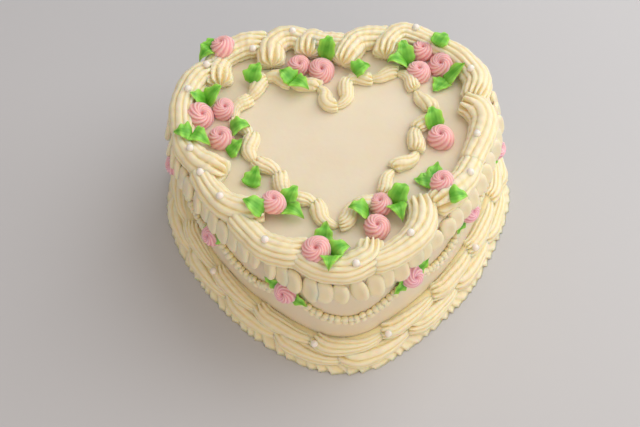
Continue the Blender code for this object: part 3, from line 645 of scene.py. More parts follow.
@dataclass(frozen=True)
class TopBorder:
    """Fat scrolls piped round the top edge, each from its curled head to its tail.

    A scroll's keys are the place round the edge from the heart's tip, from 0 to 1 with the right
    side first, and the millimetres outside the wall.
    """

    top: float
    head_radius: float = 9.8 * MM
    tail_radius: float = 7.2 * MM
    axis_height: float = 4.5 * MM
    rings: int = 96
    crowding: float = 1.4
    start_fill: float = 0.70
    fill_lead: float = 0.12
    fill_speed: float = 2.2
    closing_share: float = 0.10
    broadness: float = 1.10
    ball_step: int = 4
    nozzle: StarNozzle = StarNozzle(ridges=12, depth=0.17, turns=0.05, finger=11.0 * MM, tip=2.4 * MM)

    SCROLLS = {
        "tip": [(0.048, -17), (0.036, -9), (0.018, -7), (0.000, -6), (-0.025, -6), (-0.058, -7)],
        "tip_right": [(0.122, -20), (0.112, -12), (0.098, -5), (0.078, -2), (0.055, -2), (0.030, -4)],
        "side_right": [(0.124, -9), (0.145, -6), (0.168, -4), (0.196, -5)],
        "lobe_right": [(0.276, -21), (0.262, -12), (0.245, -7), (0.225, -6), (0.205, -6), (0.186, -6)],
        "shoulder_right": [(0.277, -14), (0.300, -7), (0.325, -6), (0.352, -6), (0.386, -6)],
        "crown_right": [(0.440, -25), (0.433, -14), (0.418, -5), (0.400, -5), (0.374, -6)],
        "fan": [(0.496, -20), (0.485, -11), (0.465, -6), (0.428, -6)],
        "cleft": [(0.514, -15), (0.520, -4), (0.506, -1), (0.482, -5)],
        "crown_left": [(0.566, -27), (0.566, -19), (0.564, -11),
                       (0.553, -4), (0.540, -1.5), (0.527, -3), (0.517, -7)],
        "shoulder_left": [(0.568, -7), (0.595, -5), (0.620, -6), (0.648, -7)],
        "knot_left": [(0.662, -23), (0.652, -18), (0.642, -13), (0.630, -9)],
        "lobe_left": [(0.642, -12), (0.664, -7), (0.690, -6), (0.716, -6), (0.754, -6)],
        "side_left": [(0.821, -20), (0.808, -15), (0.790, -9), (0.768, -6), (0.742, -6)],
        "hollow_left": [(0.884, -22), (0.872, -12), (0.852, -6), (0.830, -5), (0.798, -6)],
        "tip_left": [(0.958, -14), (0.940, -6), (0.918, -2), (0.896, -3), (0.866, -5)],
    }

    def line(self, keys: list[tuple[float, float]]) -> tuple[Array, Array]:
        """Middle line and radii of one scroll: it fills out quickly and then thins to its tail.

        The rings crowd towards the head, where the ridges stand apart.
        """
        places, outs = np.array(keys).T
        along = np.linspace(0.0, 1.0, self.rings) ** self.crowding
        path = smooth_curve(WALL.place(places, outs * MM, 0.0), along)
        filled = np.minimum(1.0, (along + self.fill_lead) * self.fill_speed)
        fill = self.start_fill + (1.0 - self.start_fill) * np.sin(math.pi / 2 * filled)
        radii = (self.head_radius + (self.tail_radius - self.head_radius) * along) * fill
        path[:, 2] = self.top + self.axis_height * radii / self.head_radius
        return path, radii

    @cached_property
    def balls(self) -> tuple[Array, Array]:
        """Centres and radii of balls that fill every scroll."""
        lines = [self.line(keys) for keys in self.SCROLLS.values()]
        step = self.ball_step
        return np.concatenate([p[::step] for p, _ in lines]), np.concatenate([r[::step] for _, r in lines])

    def build(self, material: bpy.types.Material) -> None:
        """Makes one piece for each scroll."""
        ends = closing(np.linspace(0.0, 1.0, self.rings) ** self.crowding, self.closing_share)
        for seed, (label, keys) in enumerate(self.SCROLLS.items()):
            path, radii = self.line(keys)
            points, crest = self.nozzle.pipe(path, radii * ends, seed, self.broadness)
            make_piece(f"scroll_{label}", skins(points[None], crest[None]), material,
                       ["top_border"])


@dataclass(frozen=True)
class SmallHeart:
    """Heart of short reverse shells on the flat top: each curls to the side that it starts on."""

    top: float
    shells: int = 22
    radius: float = 5.0 * MM
    swing: float = 3.0 * MM
    swing_share: float = 2 / 3
    rings: int = 40
    run: float = 1.16
    lead: float = 0.06
    jitter: float = 0.10
    reaches: tuple[float, float] = (0.85, 1.25)
    sizes: tuple[float, float] = (0.90, 1.08)
    closing_share: float = 0.2
    axis: float = 0.45
    broadness: float = 1.12
    bury: float = 1.0 * MM
    ball_count: int = 160
    seed: int = 5
    shell_seed: int = 100
    nozzle: StarNozzle = StarNozzle(ridges=9, depth=0.17, turns=0.10, finger=4.0 * MM, tip=1.2 * MM)

    @cached_property
    def balls(self) -> tuple[Array, Array]:
        """Centres and radii of balls that fill the shells, in a plain ring along the heart."""
        ring = np.linspace(0.0, 1.0, self.ball_count, endpoint=False)
        centres = SMALL_HEART.place(ring, 0.0, self.top + 0.5 * self.radius)
        return centres, np.full(self.ball_count, self.radius)

    def build(self, material: bpy.types.Material) -> None:
        """Makes the piece: shell i starts at place i and runs on under the head of the next.

        Its line swings from one side to the other as a half cosine over the swing's share of it.
        """
        rng = np.random.default_rng(self.seed)
        along = np.linspace(0.0, 1.0, self.rings)
        swell = shell_swell(along, least=0.34, stretch=0.78, lead=0.20, lean=0.72)
        made = []
        for i in range(self.shells):
            curl = -1.0 if i % 2 else 1.0
            reach = rng.uniform(*self.reaches)
            start = i + rng.uniform(-self.jitter, self.jitter)
            places = (start + self.run * (along - self.lead)) / self.shells
            out = curl * self.swing * reach * np.cos(math.pi * np.minimum(along / self.swing_share, 1.0))
            radii = self.radius * rng.uniform(*self.sizes) * swell * closing(along, self.closing_share)
            path = SMALL_HEART.place(places, out, self.top + self.axis * radii)
            made.append(self.nozzle.pipe(path, radii, self.shell_seed + i, self.broadness))
        points = np.stack([p for p, _ in made])
        points[..., 2] = np.maximum(points[..., 2], self.top - self.bury)
        make_piece("small_heart_shells", skins(points, np.stack([c for _, c in made])), material,
                   ["inner_heart_border"])


@dataclass(frozen=True)
class Ruffle:
    """Soft tabs that hang side by side from under the top border."""

    top: float
    hem: float
    tuck: float = 0.8 * MM
    hem_rise: float = 0.6 * MM
    petals: int = 66
    half_width: float = 6.3 * MM
    half_depth: float = 2.9 * MM
    out: float = 3.0 * MM
    lap: float = math.radians(20)
    hollow: float = 0.40
    squareness: float = 0.82
    jitter: float = 0.18
    heights: tuple[float, float] = (0.88, 1.10)
    leans: tuple[float, float] = (0.16, 0.36)
    swings: tuple[float, float] = (-0.16, 0.16)
    laps: tuple[float, float] = (0.3, 1.5)
    widths: tuple[float, float] = (0.84, 1.10)
    depths: tuple[float, float] = (0.80, 1.15)
    outs: tuple[float, float] = (0.85, 1.15)
    seed: int = 11

    def build(self, material: bpy.types.Material) -> None:
        """Makes the piece: cupped pads that lean out at the hem, each lapping over the next.

        A pad is a squared ball turned by the lap about its upright axis, and its face sinks by
        hollow exp(-3 r^2) at the distance r from its middle, which leaves a soft rim. Its crest
        value grows with r^2 and with height. The rim and the upper part get painted light and are
        palest, and the hollow and the lower part get painted shade.
        """
        rng = np.random.default_rng(self.seed)
        count = self.petals
        places = (np.arange(count) + rng.uniform(-self.jitter, self.jitter, count)) / count
        top, hem = self.top + self.tuck, self.hem + self.hem_rise
        half_height = (top - hem) / 2 * rng.uniform(*self.heights, count)
        lean = rng.uniform(*self.leans, count)
        swing = rng.uniform(*self.swings, count)
        frames = WALL.frames(places)
        along, out, up = frames[:, 0], frames[:, 1], frames[:, 2]
        down_out = unit(up - out * lean[:, None] + along * swing[:, None])
        lap = (self.lap * rng.uniform(*self.laps, count))[:, None]
        out = out * np.cos(lap) + along * np.sin(lap)
        out = unit(out - down_out * np.sum(out * down_out, axis=1, keepdims=True))
        turned = np.stack([np.cross(out, down_out), out, down_out], axis=1)
        sizes = np.stack([
            self.half_width * rng.uniform(*self.widths, count),
            self.half_depth * rng.uniform(*self.depths, count),
            half_height,
        ], axis=1)
        centres = WALL.place(places, self.out * rng.uniform(*self.outs, count), top - half_height)
        shape = pillow(rings=20, around=32, squareness=self.squareness)
        apart = shape[..., 0] ** 2 + shape[..., 2] ** 2
        # Painted light and shade: rim and upper part paler, hollow and lower part darker
        crest = np.clip(0.66 + 0.26 * apart + 0.12 * shape[..., 2], 0.0, 1.0)
        shape[..., 1] *= 1.0 - self.hollow * np.exp(-3.0 * apart)
        points = spread(shape, centres, turned, sizes)
        crest = np.broadcast_to(crest, points.shape[:-1])
        make_piece("ruffle_petals", skins(points, crest), material, ["ruffle"])


@dataclass(frozen=True)
class Garland:
    """Two rows of small beads that hang in swags between the posies on the wall."""

    posies: tuple[float, ...]
    peak: float = 64.0 * MM
    sag: float = 17.0 * MM
    bead: float = 2.35 * MM
    pitch: float = 4.1 * MM
    row_gap: float = 4.0 * MM
    seat: float = 0.62
    jitter: float = 0.15
    wander: float = 0.4 * MM
    sizes: tuple[float, float] = (0.80, 1.18)
    proportions: tuple[float, float, float] = (1.05, 0.95, 0.95)
    probe: float = 0.002
    steepest: float = 2.0
    line_steps: int = 4000
    seed: int = 23

    def height(self, places: Array) -> Array:
        """Height of the middle line: each swag is a parabola, which hangs by the sag at mid span."""
        knots = np.array([self.posies[-1] - 1.0, *self.posies, self.posies[0] + 1.0])
        index = np.clip(np.searchsorted(knots, places, side="right") - 1, 0, len(knots) - 2)
        along = (places - knots[index]) / (knots[index + 1] - knots[index])
        return self.peak - 4 * self.sag * along * (1 - along)

    def beads(self, side: float, rng: np.random.Generator) -> tuple[Array, Array, Array]:
        """Centres, frames and half sizes of the beads of one row, on one side of the middle line."""
        fine = np.linspace(0.0, 1.0, self.line_steps)
        line = WALL.place(fine, 0.0, self.height(fine))
        walked = walk(line)
        count = int(walked[-1] / self.pitch)
        steps = (np.arange(count) + rng.uniform(-self.jitter, self.jitter, count)) / count % 1.0
        places = np.interp(steps * walked[-1], walked, fine)
        ahead = self.height((places + self.probe) % 1.0) - self.height((places - self.probe) % 1.0)
        slope = np.clip(ahead / (2 * self.probe * WALL.length), -self.steepest, self.steepest)
        frames = WALL.frames(places)
        run = unit(frames[:, 0] * -1.0 + frames[:, 2] * slope[:, None])
        across = np.cross(run, frames[:, 1])
        shift = side * self.row_gap / 2 + rng.normal(0.0, self.wander, count)
        centres = WALL.place(places, self.bead * self.seat, self.height(places)) + across * shift[:, None]
        sizes = self.bead * rng.uniform(*self.sizes, (count, 3)) * self.proportions
        return centres, np.stack([run, frames[:, 1], across], axis=1), sizes

    def build(self, material: bpy.types.Material) -> None:
        """Makes the piece: every bead is a ball of few faces, with painted light on its outer side and
        painted shade on its inner side.
        """
        rng = np.random.default_rng(self.seed)
        shape = pillow(rings=7, around=12, squareness=1.0)
        rows = [spread(shape, *self.beads(side, rng)) for side in (-1.0, 1.0)]
        points = np.concatenate(rows)
        # Painted light and shade: the outer side of each bead paler, the inner side darker
        crest = np.broadcast_to(np.clip(0.45 + 0.6 * shape[..., 1], 0.0, 1.0), points.shape[:-1])
        make_piece("bead_garland", skins(points, crest), material, ["garland"])


@dataclass(frozen=True)
class FootRow:
    """One row of long ridged shells round the foot: each head laps over the tail before it.

    A plain bed of icing fills the corner between the shells and what is behind them. Its low crest value
    gives it the darker groove colour: painted shade in the corner.
    """

    name: str
    node: str
    out: float
    height: float
    radius: float
    phase: float
    dive: float
    seed: int
    shells: int = 15
    rings: int = 64
    run: float = 1.20
    lead: float = 0.04
    jitter: float = 0.05
    sizes: tuple[float, float] = (0.95, 1.04)
    head_share: float = 0.22
    tail_share: float = 0.38
    closing_share: float = 0.12
    floor_gap: float = 0.2 * MM
    bed_share: float = 0.62
    nozzle: StarNozzle = StarNozzle(ridges=10, depth=0.20, turns=0.06, finger=6.0 * MM, tip=1.8 * MM)

    def bed(self) -> Surface:
        """Round band behind the shells, its radius a share of theirs, with a low crest value for painted
        shade in the corner.
        """
        radius = self.bed_share * self.radius
        round_cake = np.linspace(0.0, 1.0, 240)
        round_bed = np.linspace(0.0, TURN, 12, endpoint=False)
        places, turn = np.meshgrid(round_cake, round_bed, indexing="ij")
        out = self.out - 0.5 * self.radius + radius * np.cos(turn)
        points = FOOT_LINE.place(places, out, self.height + radius * np.sin(turn))[None]
        # Painted shade in the corner: the low crest value gives the bed the darker groove colour
        return skins(points, np.full(points.shape[:-1], 0.3))

    def build(self, material: bpy.types.Material) -> None:
        """Makes the row: a shell's tail dives inwards and down under the next one's head.

        The head, which the nozzle starts near the cake, comes out and down from its own small dive.
        """
        rng = np.random.default_rng(self.seed)
        along = np.linspace(0.0, 1.0, self.rings)
        swell = shell_swell(along, least=0.42, stretch=0.84, lead=0.16, lean=0.6)
        tail = np.clip((along - 1.0 + self.tail_share) / self.tail_share, 0.0, 1.0) ** 1.5
        head = np.clip(1.0 - along / self.head_share, 0.0, 1.0) ** 2
        made = []
        for i in range(self.shells):
            start = i + self.phase + rng.uniform(-self.jitter, self.jitter)
            places = (start + self.run * (along - self.lead)) / self.shells
            radii = self.radius * rng.uniform(*self.sizes) * swell * closing(along, self.closing_share)
            out = self.out - self.dive * tail - 0.9 * self.dive * head
            path = FOOT_LINE.place(places, out, self.height + self.dive * (0.35 * head - 0.45 * tail))
            made.append(self.nozzle.pipe(path, radii, self.seed + i))
        points = np.stack([p for p, _ in made])
        points[..., 2] = np.maximum(points[..., 2], self.floor_gap)
        surface = skins(points, np.stack([c for _, c in made]))
        make_piece(self.name, surface, material, [self.node])
        make_piece(f"{self.name}_bed", self.bed(), material, [self.node])


@dataclass(frozen=True)
class Frill:
    """Low skirt that spreads on the floor from under the foot's lower shells, folded into teeth."""

    reach: float
    teeth: int = 92
    bite: float = 2.6 * MM
    inner: float = 5.0 * MM
    height: float = 6.4 * MM
    fold: float = 0.9 * MM
    slant: float = 1.6
    drop: float = 0.20
    wander: float = 0.5 * MM
    floor_gap: float = 0.15 * MM
    steps: int = 14
    rows: int = 12

    def tooth(self, phase: Array) -> Array:
        """Saw tooth from 0 to 1: it steps out over the drop and then runs back slowly."""
        part = phase % 1.0
        return np.where(part < self.drop, np.sin(math.pi / 2 * part / self.drop),
                        (1.0 - np.maximum(part - self.drop, 0.0) / (1.0 - self.drop)) ** 0.8)

    def build(self, material: bpy.types.Material) -> None:
        """Makes the piece: u runs across it from the shells, 0, to its edge on the floor, 1.

        The folds run back from the teeth at a slant, and the teeth differ in length and bite. The
        skirt's height is (1 - u^2.4)^0.6, and the folds are deepest in its middle, as sin(pi u^1.6).
        Its last rows run back over the floor as a flat underside.
        """
        places = np.linspace(0.0, 1.0, self.teeth * self.steps + 1)[:, None]
        over = np.linspace(1.0, 0.0, self.rows)
        under = np.array([0.0, 0.5, 0.96])
        u = np.concatenate([over, under])[None, :]
        top = np.concatenate([np.ones(len(over)), np.zeros(len(under))])[None, :]
        warp = 0.45 * ripple(places, times=(7, 13, 29), shifts=(0.3, 1.9, 4.4))
        tooth = self.tooth(self.teeth * places + self.slant * (1.0 - u) + warp)
        bite = self.bite * (0.75 + 0.55 * ripple(places, times=(11, 17, 31), shifts=(1.0, 2.6, 5.1)))
        wander = self.wander * (1.0 + ripple(places, times=(5, 9), shifts=(0.7, 3.0)))
        edge = self.reach - bite * (1.0 - tooth) - wander
        out = self.inner + (edge - self.inner) * u
        rise = self.height * (1.0 - u ** 2.4) ** 0.6 + self.fold * (tooth - 0.5) * np.sin(math.pi * u ** 1.6)
        height = self.floor_gap + top * np.maximum(rise, 0.0)
        points = FOOT_LINE.place(np.broadcast_to(places, out.shape), out, height)
        # Painted shade in the folds: the teeth are paler and the folds between them darker by the crest
        # value
        crest = np.clip(0.25 + 0.65 * tooth, 0.0, 1.0)
        make_piece("foot_frill", skins(points[None], crest[None]), material, ["foot_lower"])


# Toppings

@dataclass(frozen=True)
class Ground:
    """Height of what lies under a topping: the flat top, a scroll or the small heart."""

    top: float
    centres: Array
    radii: Array
    probes: int = 8

    def height(self, spots: Array) -> Array:
        """Highest ball over each spot, or the flat top where none is.

        Args:
            spots: x and y of each spot, shape (spots, 2).

        Returns:
            Heights, shape (spots,).
        """
        apart = ((spots[:, None, :] - self.centres[None, :, :2]) ** 2).sum(axis=-1)
        inside = self.radii[None] ** 2 - apart
        over = self.centres[None, :, 2] + np.sqrt(np.maximum(inside, 0.0))
        return np.maximum(np.where(inside > 0.0, over, self.top).max(axis=1), self.top)

    def carrying(self, spot: Array, radius: float) -> float:
        """Height that carries a round piece: at its middle, or the mean round it if that is higher."""
        turns = np.linspace(0.0, TURN, self.probes, endpoint=False)
        around = spot + radius * np.stack([np.cos(turns), np.sin(turns)], axis=1)
        return max(float(self.height(spot[None])[0]), float(self.height(around).mean()))


@dataclass(frozen=True)
class Rose:
    """Rosette piped in one swirl: a low dome whose thin petals wind into a small deep eye."""

    radius: float
    arms: int = 9
    spin: float = 2.2
    relief: float = 0.080
    eye: float = 0.16
    lapping: float = 1.5
    lumps: tuple[float, float] = (0.035, 0.025)
    rings: int = 44
    samples: int = 10

    PROFILE = [
        (0.02, 0.46), (0.08, 0.56), (0.18, 0.71), (0.34, 0.80), (0.54, 0.78), (0.74, 0.65), (0.90, 0.43),
        (0.99, 0.14), (0.99, -0.10), (0.90, -0.28), (0.64, -0.42), (0.20, -0.45),
    ]

    def local(self, seed: int) -> tuple[Array, Array]:
        """Rings from the eye out over the dome and under it, with the bloom to +Z.

        The petals run along log spirals: their phase p is arms (angle + spin ln(a + eye)) at the
        distance a along the profile. Across a petal the height is sin(pi p^lapping), which rises
        slowly and falls fast, so that each seems to lap over the next. Two sines make it lumpy.
        """
        rng = np.random.default_rng(seed)
        profile = np.column_stack([np.array(self.PROFILE), np.zeros(len(self.PROFILE))])
        line = smooth_curve(profile, np.linspace(0.0, 1.0, self.rings))
        walked = walk(line)[:, None]
        angle = np.linspace(0.0, TURN, self.arms * self.samples, endpoint=False)[None, :]
        phase = self.arms * (angle + self.spin * np.log(walked + self.eye)) / TURN + rng.uniform()
        crest = np.sin(math.pi * (phase % 1.0) ** self.lapping)
        lift = self.relief * np.clip(walked / 0.35, 0.15, 1.0) * (crest - 0.5)
        shift = rng.uniform(0.0, TURN, 2)
        twice, thrice = self.lumps
        lump = 1.0 + twice * np.sin(2 * angle + shift[0]) + thrice * np.sin(3 * angle + shift[1])
        out = (line[:, :1] + lift * np.clip(1.6 * line[:, :1] - 0.3, 0.0, 1.0)) * lump
        high = line[:, 1:2] + lift * np.clip(1.5 - line[:, :1], 0.2, 1.0)
        points = np.stack([out * np.cos(angle), out * np.sin(angle), high + 0 * angle], axis=-1)
        # Painted shade: the crest value is low between petals and fades towards the eye, so the finish
        # paints the petal grooves and the deep eye darker
        return points * self.radius, crest * np.clip(walked / 0.30, 0.0, 1.0)

    def placed(self, seed: int, origin: Array, frame: Array) -> tuple[Array, Array]:
        """The rose turned by a frame's rows and moved to its seat."""
        points, crest = self.local(seed)
        return points @ frame + origin, crest


@dataclass(frozen=True)
class Leaf:
    """Leaf piped with a V nozzle: a broad pointed blade, folded up along a crease in its middle."""

    length: float
    width: float = 15.0 * MM
    thickness: float = 1.2 * MM
    crease: float = 1.5 * MM
    rib: float = 0.16 * MM
    pucker: float = 0.75 * MM
    puckers: float = 2.2
    tip_lift: float = 0.8 * MM
    shoulder: float = 0.25
    foot_share: float = 0.62
    bend: float = 0.10
    ribs: float = 5.0
    rings: int = 26
    around: int = 32

    def local(self, seed: int) -> tuple[Array, Array]:
        """Rings along the blade, which starts at the origin and points to +X.

        The half width is full from the shoulder on and runs out to a point as (1 - u^1.5)^0.9.
        Height adds the crease |v|, the puckers sin(u) |v|, two ribs cos(5 pi v) on each side and a
        lens thickness, at the share u of the length and the place v from edge, -1, to edge, 1.
        """
        rng = np.random.default_rng(seed)
        u = np.linspace(0.0, 0.995, self.rings)[:, None]
        angle = np.linspace(0.0, TURN, self.around, endpoint=False)[None, :]
        v = np.cos(angle)
        opening = np.sin(math.pi / 2 * np.minimum(u / self.shoulder, 1.0))
        blade = (1.0 - u ** 1.5) ** 0.9 * (self.foot_share + (1.0 - self.foot_share) * opening)
        side = 1.0 + 0.5 * np.sign(v)
        pucker = np.sin(TURN * self.puckers * u * rng.uniform(0.8, 1.2) + rng.uniform(0, TURN) + side)
        bend = rng.uniform(-self.bend, self.bend) * self.length * u ** 2
        y = self.width / 2 * blade * v * (1.0 + 0.08 * pucker) + bend
        fold = self.crease * np.abs(v) ** 1.2 * np.clip(blade * 1.2, 0.0, 1.0)
        lens = np.sin(angle) * (0.35 + 0.65 * np.abs(np.sin(angle)))
        body = self.thickness * lens * np.clip(blade * 1.6, 0.15, 1.0)
        rib = np.cos(self.ribs * math.pi * v)
        z = fold + self.pucker * pucker * np.abs(v) ** 1.3 + self.rib * rib + body + self.tip_lift * u ** 2
        # Painted shade and light: the crease and the foot of the blade get low crest values and are painted
        # darker, the raised puckers and ribs paler
        crest = np.clip(0.10 + 0.95 * np.abs(v) + 0.20 * pucker + 0.12 * rib, 0.0, 1.0)
        crest = crest * np.clip(0.50 + u, 0.0, 1.0)
        return np.stack([self.length * u + 0 * v, y, z], axis=-1), crest


@dataclass(frozen=True)
class TopRoses:
    """Roses on the border and on the flat top: x, y and radius in millimetres, tilt in degrees."""

    ground: Ground
    sink: float = 0.20
    growth: float = 1.04
    footprint: float = 0.6
    seed: int = 200

    SEATS = [
        (-72.1, 82.7, 8.1, 20), (-88.4, 31.5, 9.4, -28), (-71.8, 36.4, 7.6, -10), (-73.7, 13.0, 8.2, 5),
        (-21.3, 70.0, 7.3, -15), (-6.2, 64.3, 8.6, -15), (62.8, 76.2, 7.8, 0), (74.9, 63.5, 8.6, -20),
        (58.6, 58.5, 7.9, 6), (68.7, 4.1, 8.4, -5), (66.0, -35.1, 7.7, -8), (26.7, -44.4, 7.5, -12),
        (23.3, -60.7, 8.1, 5), (-40.3, -42.4, 7.7, -8), (-14.7, -79.0, 8.8, 8),
    ]

    def build(self, material: bpy.types.Material) -> None:
        """Makes one piece for each rose, leaning by its tilt away from the cake's middle."""
        for i, (x, y, radius, tilt) in enumerate(self.SEATS):
            spot = np.array([x, y]) * MM
            size = self.growth * radius * MM
            carried = self.ground.carrying(spot, self.footprint * radius * MM)
            height = max(carried - self.sink * size, self.ground.top + self.sink * size)
            lean = math.radians(tilt)
            away = np.array([x, y, 0.0]) / math.hypot(x, y)
            up = np.array([0.0, 0.0, 1.0])
            bloom = up * math.cos(lean) + away * math.sin(lean)
            out = away * math.cos(lean) - up * math.sin(lean)
            frame = np.stack([out, np.cross(bloom, out), bloom])
            seat = np.array([*spot, height])
            points, crest = Rose(size, arms=8 + i % 3).placed(self.seed + i, seat, frame)
            make_piece(f"top_rose_{i + 1:02d}", skins(points[None], crest[None]), material,
                       [f"rose_{i + 1:02d}"])


@dataclass(frozen=True)
class TopLeaves:
    """Leaves on the top: the foot that a fan shares in millimetres, then direction and length."""

    ground: Ground
    lift: float = 0.8 * MM
    overlap: float = 0.4 * MM
    fall: float = 0.30
    ends: int = 3
    seed: int = 300

    FANS = [
        ((-79.0, 83.0), [(82, 11), (218, 12)]), ((-83.5, 43.0), [(172, 10), (28, 13)]),
        ((-92.0, 13.0), [(178, 12), (-32, 14)]), ((-67.5, 18.0), [(8, 14)]),
        ((-69.5, 2.0), [(28, 12)]), ((-54.0, 56.0), [(62, 15)]), ((-55.5, -24.5), [(62, 14)]),
        ((-33.5, -43.0), [(60, 16), (-35, 15)]), ((-46.5, -49.5), [(150, 14)]),
        ((-11.0, -69.0), [(72, 13)]), ((-5.5, -81.5), [(26, 14), (-94, 14)]),
        ((-25.5, 54.5), [(135, 12), (-42, 13)]), ((-3.5, 73.0), [(60, 12)]),
        ((15.5, 58.0), [(30, 14)]), ((51.5, 66.5), [(104, 14), (190, 14)]), ((72.0, 74.0), [(52, 15)]),
        ((75.5, 52.0), [(15, 14), (-125, 13)]), ((66.0, 11.5), [(105, 13)]),
        ((60.5, -28.0), [(72, 15), (176, 12)]), ((69.0, -47.5), [(4, 12)]),
        ((35.5, -45.0), [(52, 16), (-72, 14)]), ((19.0, -51.0), [(174, 13)]),
    ]

    def drape(self, points: Array, length: float) -> Array:
        """Heights under a leaf: a line from foot to tip, arched just enough to clear the ground.

        The line falls by no more than a share of the leaf's length, because the icing is stiff.
        Its first and last rings may sink in, and don't count for the arch.
        """
        under = self.ground.height(points[:, :, :2].reshape(-1, 2)).reshape(points.shape[:2])
        u = np.linspace(0.0, 1.0, len(points))
        start = under[0].mean()
        end = max(under[-1].min(), start - self.fall * length)
        line = start + (end - start) * u
        arch = max(0.0, float((under.max(axis=1) - line)[self.ends:-self.ends].max()))
        return line + arch * np.sin(math.pi * u) ** 0.6

    def build(self, material: bpy.types.Material) -> None:
        """Makes one piece for each fan of leaves."""
        for i, (foot, fan) in enumerate(self.FANS):
            made = []
            for k, (degrees, length) in enumerate(fan):
                points, crest = Leaf(length * MM).local(self.seed + 10 * i + k)
                turn = math.radians(degrees)
                x, y = points[..., 0].copy(), points[..., 1].copy()
                points[..., 0] = foot[0] * MM + x * math.cos(turn) - y * math.sin(turn)
                points[..., 1] = foot[1] * MM + x * math.sin(turn) + y * math.cos(turn)
                points[..., 2] += self.drape(points, length * MM)[:, None] + self.lift + self.overlap * k
                made.append((points, crest))
            surface = skins(np.stack([p for p, _ in made]), np.stack([c for _, c in made]))
            make_piece(f"top_leaves_{i + 1:02d}", surface, material, [f"leaf_{i + 1:02d}"])


@dataclass(frozen=True)
class Posies:
    """Roses with two leaves each on the wall: place round it, height in mm, turn of the leaves."""

    rose_radius: float = 7.6 * MM
    seat: float = 2.6 * MM
    upturn: float = math.radians(32)
    leaf_length: float = 12 * MM
    leaf_width: float = 11.6 * MM
    leaf_lift: float = 2.2 * MM
    leaf_foot: float = 0.60
    leaf_upturn: float = 0.35
    rose_seed: int = 500
    leaf_seed: int = 600

    SEATS = [
        (0.075, 66, 20), (0.164, 72, 35), (0.243, 74, 0), (0.328, 70, 15), (0.413, 68, 30), (0.500, 70, 10),
        (0.587, 68, 25), (0.672, 70, 5), (0.757, 76, 20), (0.839, 62, 40), (0.941, 65, -20),
    ]

    def build(self, rose_finish: bpy.types.Material, leaf_finish: bpy.types.Material) -> None:
        """Makes a rose piece and a leaf piece for each posy."""
        for i, (place, height, degrees) in enumerate(self.SEATS):
            along, out, up = WALL.frames(np.array(place))
            side = -along
            origin = WALL.place(np.array(place), 0.0, height * MM)
            bloom = out * math.cos(self.upturn) + up * math.sin(self.upturn)
            frame = np.stack([side, np.cross(bloom, side), bloom])
            rose = Rose(self.rose_radius, arms=8)
            points, crest = rose.placed(self.rose_seed + i, origin + out * self.seat, frame)
            make_piece(f"wall_rose_{i + 1:02d}", skins(points[None], crest[None]), rose_finish,
                       [f"posy_{i + 1:02d}"])
            made = []
            for k in range(2):
                turn = math.radians(degrees + 180 * k)
                run = side * math.cos(turn) + up * math.sin(turn)
                blade = Leaf(self.leaf_length, width=self.leaf_width)
                leaf, shade = blade.local(self.leaf_seed + 10 * i + k)
                face = unit(out + self.leaf_upturn * (up - run * np.dot(up, run)))
                frame = np.stack([run, np.cross(face, run), face])
                foot = origin + run * self.leaf_foot * self.rose_radius + out * self.leaf_lift
                made.append((leaf @ frame + foot, shade))
            surface = skins(np.stack([p for p, _ in made]), np.stack([c for _, c in made]))
            make_piece(f"wall_leaves_{i + 1:02d}", surface, leaf_finish, [f"posy_{i + 1:02d}"])


@dataclass(frozen=True)
class Pearls:
    """Sugar pearls pressed into the scrolls and into the joints of the foot's upper shells."""

    ground: Ground
    radius: float = 2.5 * MM
    sink: float = 0.8 * MM
    standing: float = 0.4
    joint_turn: float = math.radians(55)
    joint_reach: float = 0.9

    ON_SCROLLS = [
        (0.016, -4), (0.080, -3), (0.173, -1), (0.219, -8), (0.314, -9), (0.403, -3), (0.540, -2),
        (0.589, -13), (0.653, -9), (0.694, -8), (0.779, -7), (0.810, -5), (0.848, -5), (0.917, -2),
    ]

    def balls(self, centres: Array) -> Surface:
        """A ball of the pearl's radius at each centre."""
        frames = np.broadcast_to(np.eye(3), (len(centres), 3, 3))
        ball = pillow(rings=9, around=16, squareness=1.0)
        points = spread(ball, centres, frames, np.full((len(centres), 3), self.radius))
        return skins(points, np.ones(points.shape[:-1]))

    def build(self, foot: FootRow, material: bpy.types.Material) -> None:
        """Makes the pearls of the top and those of the foot."""
        places, outs = np.array(self.ON_SCROLLS).T
        centres = WALL.place(places, outs * MM, 0.0)
        centres[:, 2] = self.ground.height(centres[:, :2]) - self.sink + self.standing * self.radius
        make_piece("scroll_pearls", self.balls(centres), material, ["top_border"])
        joints = (np.arange(0, foot.shells, 2) + foot.phase) / foot.shells
        reach = self.joint_reach * foot.radius
        out = foot.out + reach * math.cos(self.joint_turn)
        height = foot.height + reach * math.sin(self.joint_turn)
        centres = FOOT_LINE.place(joints, out, height)
        make_piece("foot_pearls", self.balls(centres), material, [foot.node])


# Floor, lights and camera

@dataclass(frozen=True)
class Lamp:
    """Square area light that faces the cake: place in metres, side in metres and power in watts."""

    name: str
    place: tuple[float, float, float]
    size: float
    power: float
    colour: str


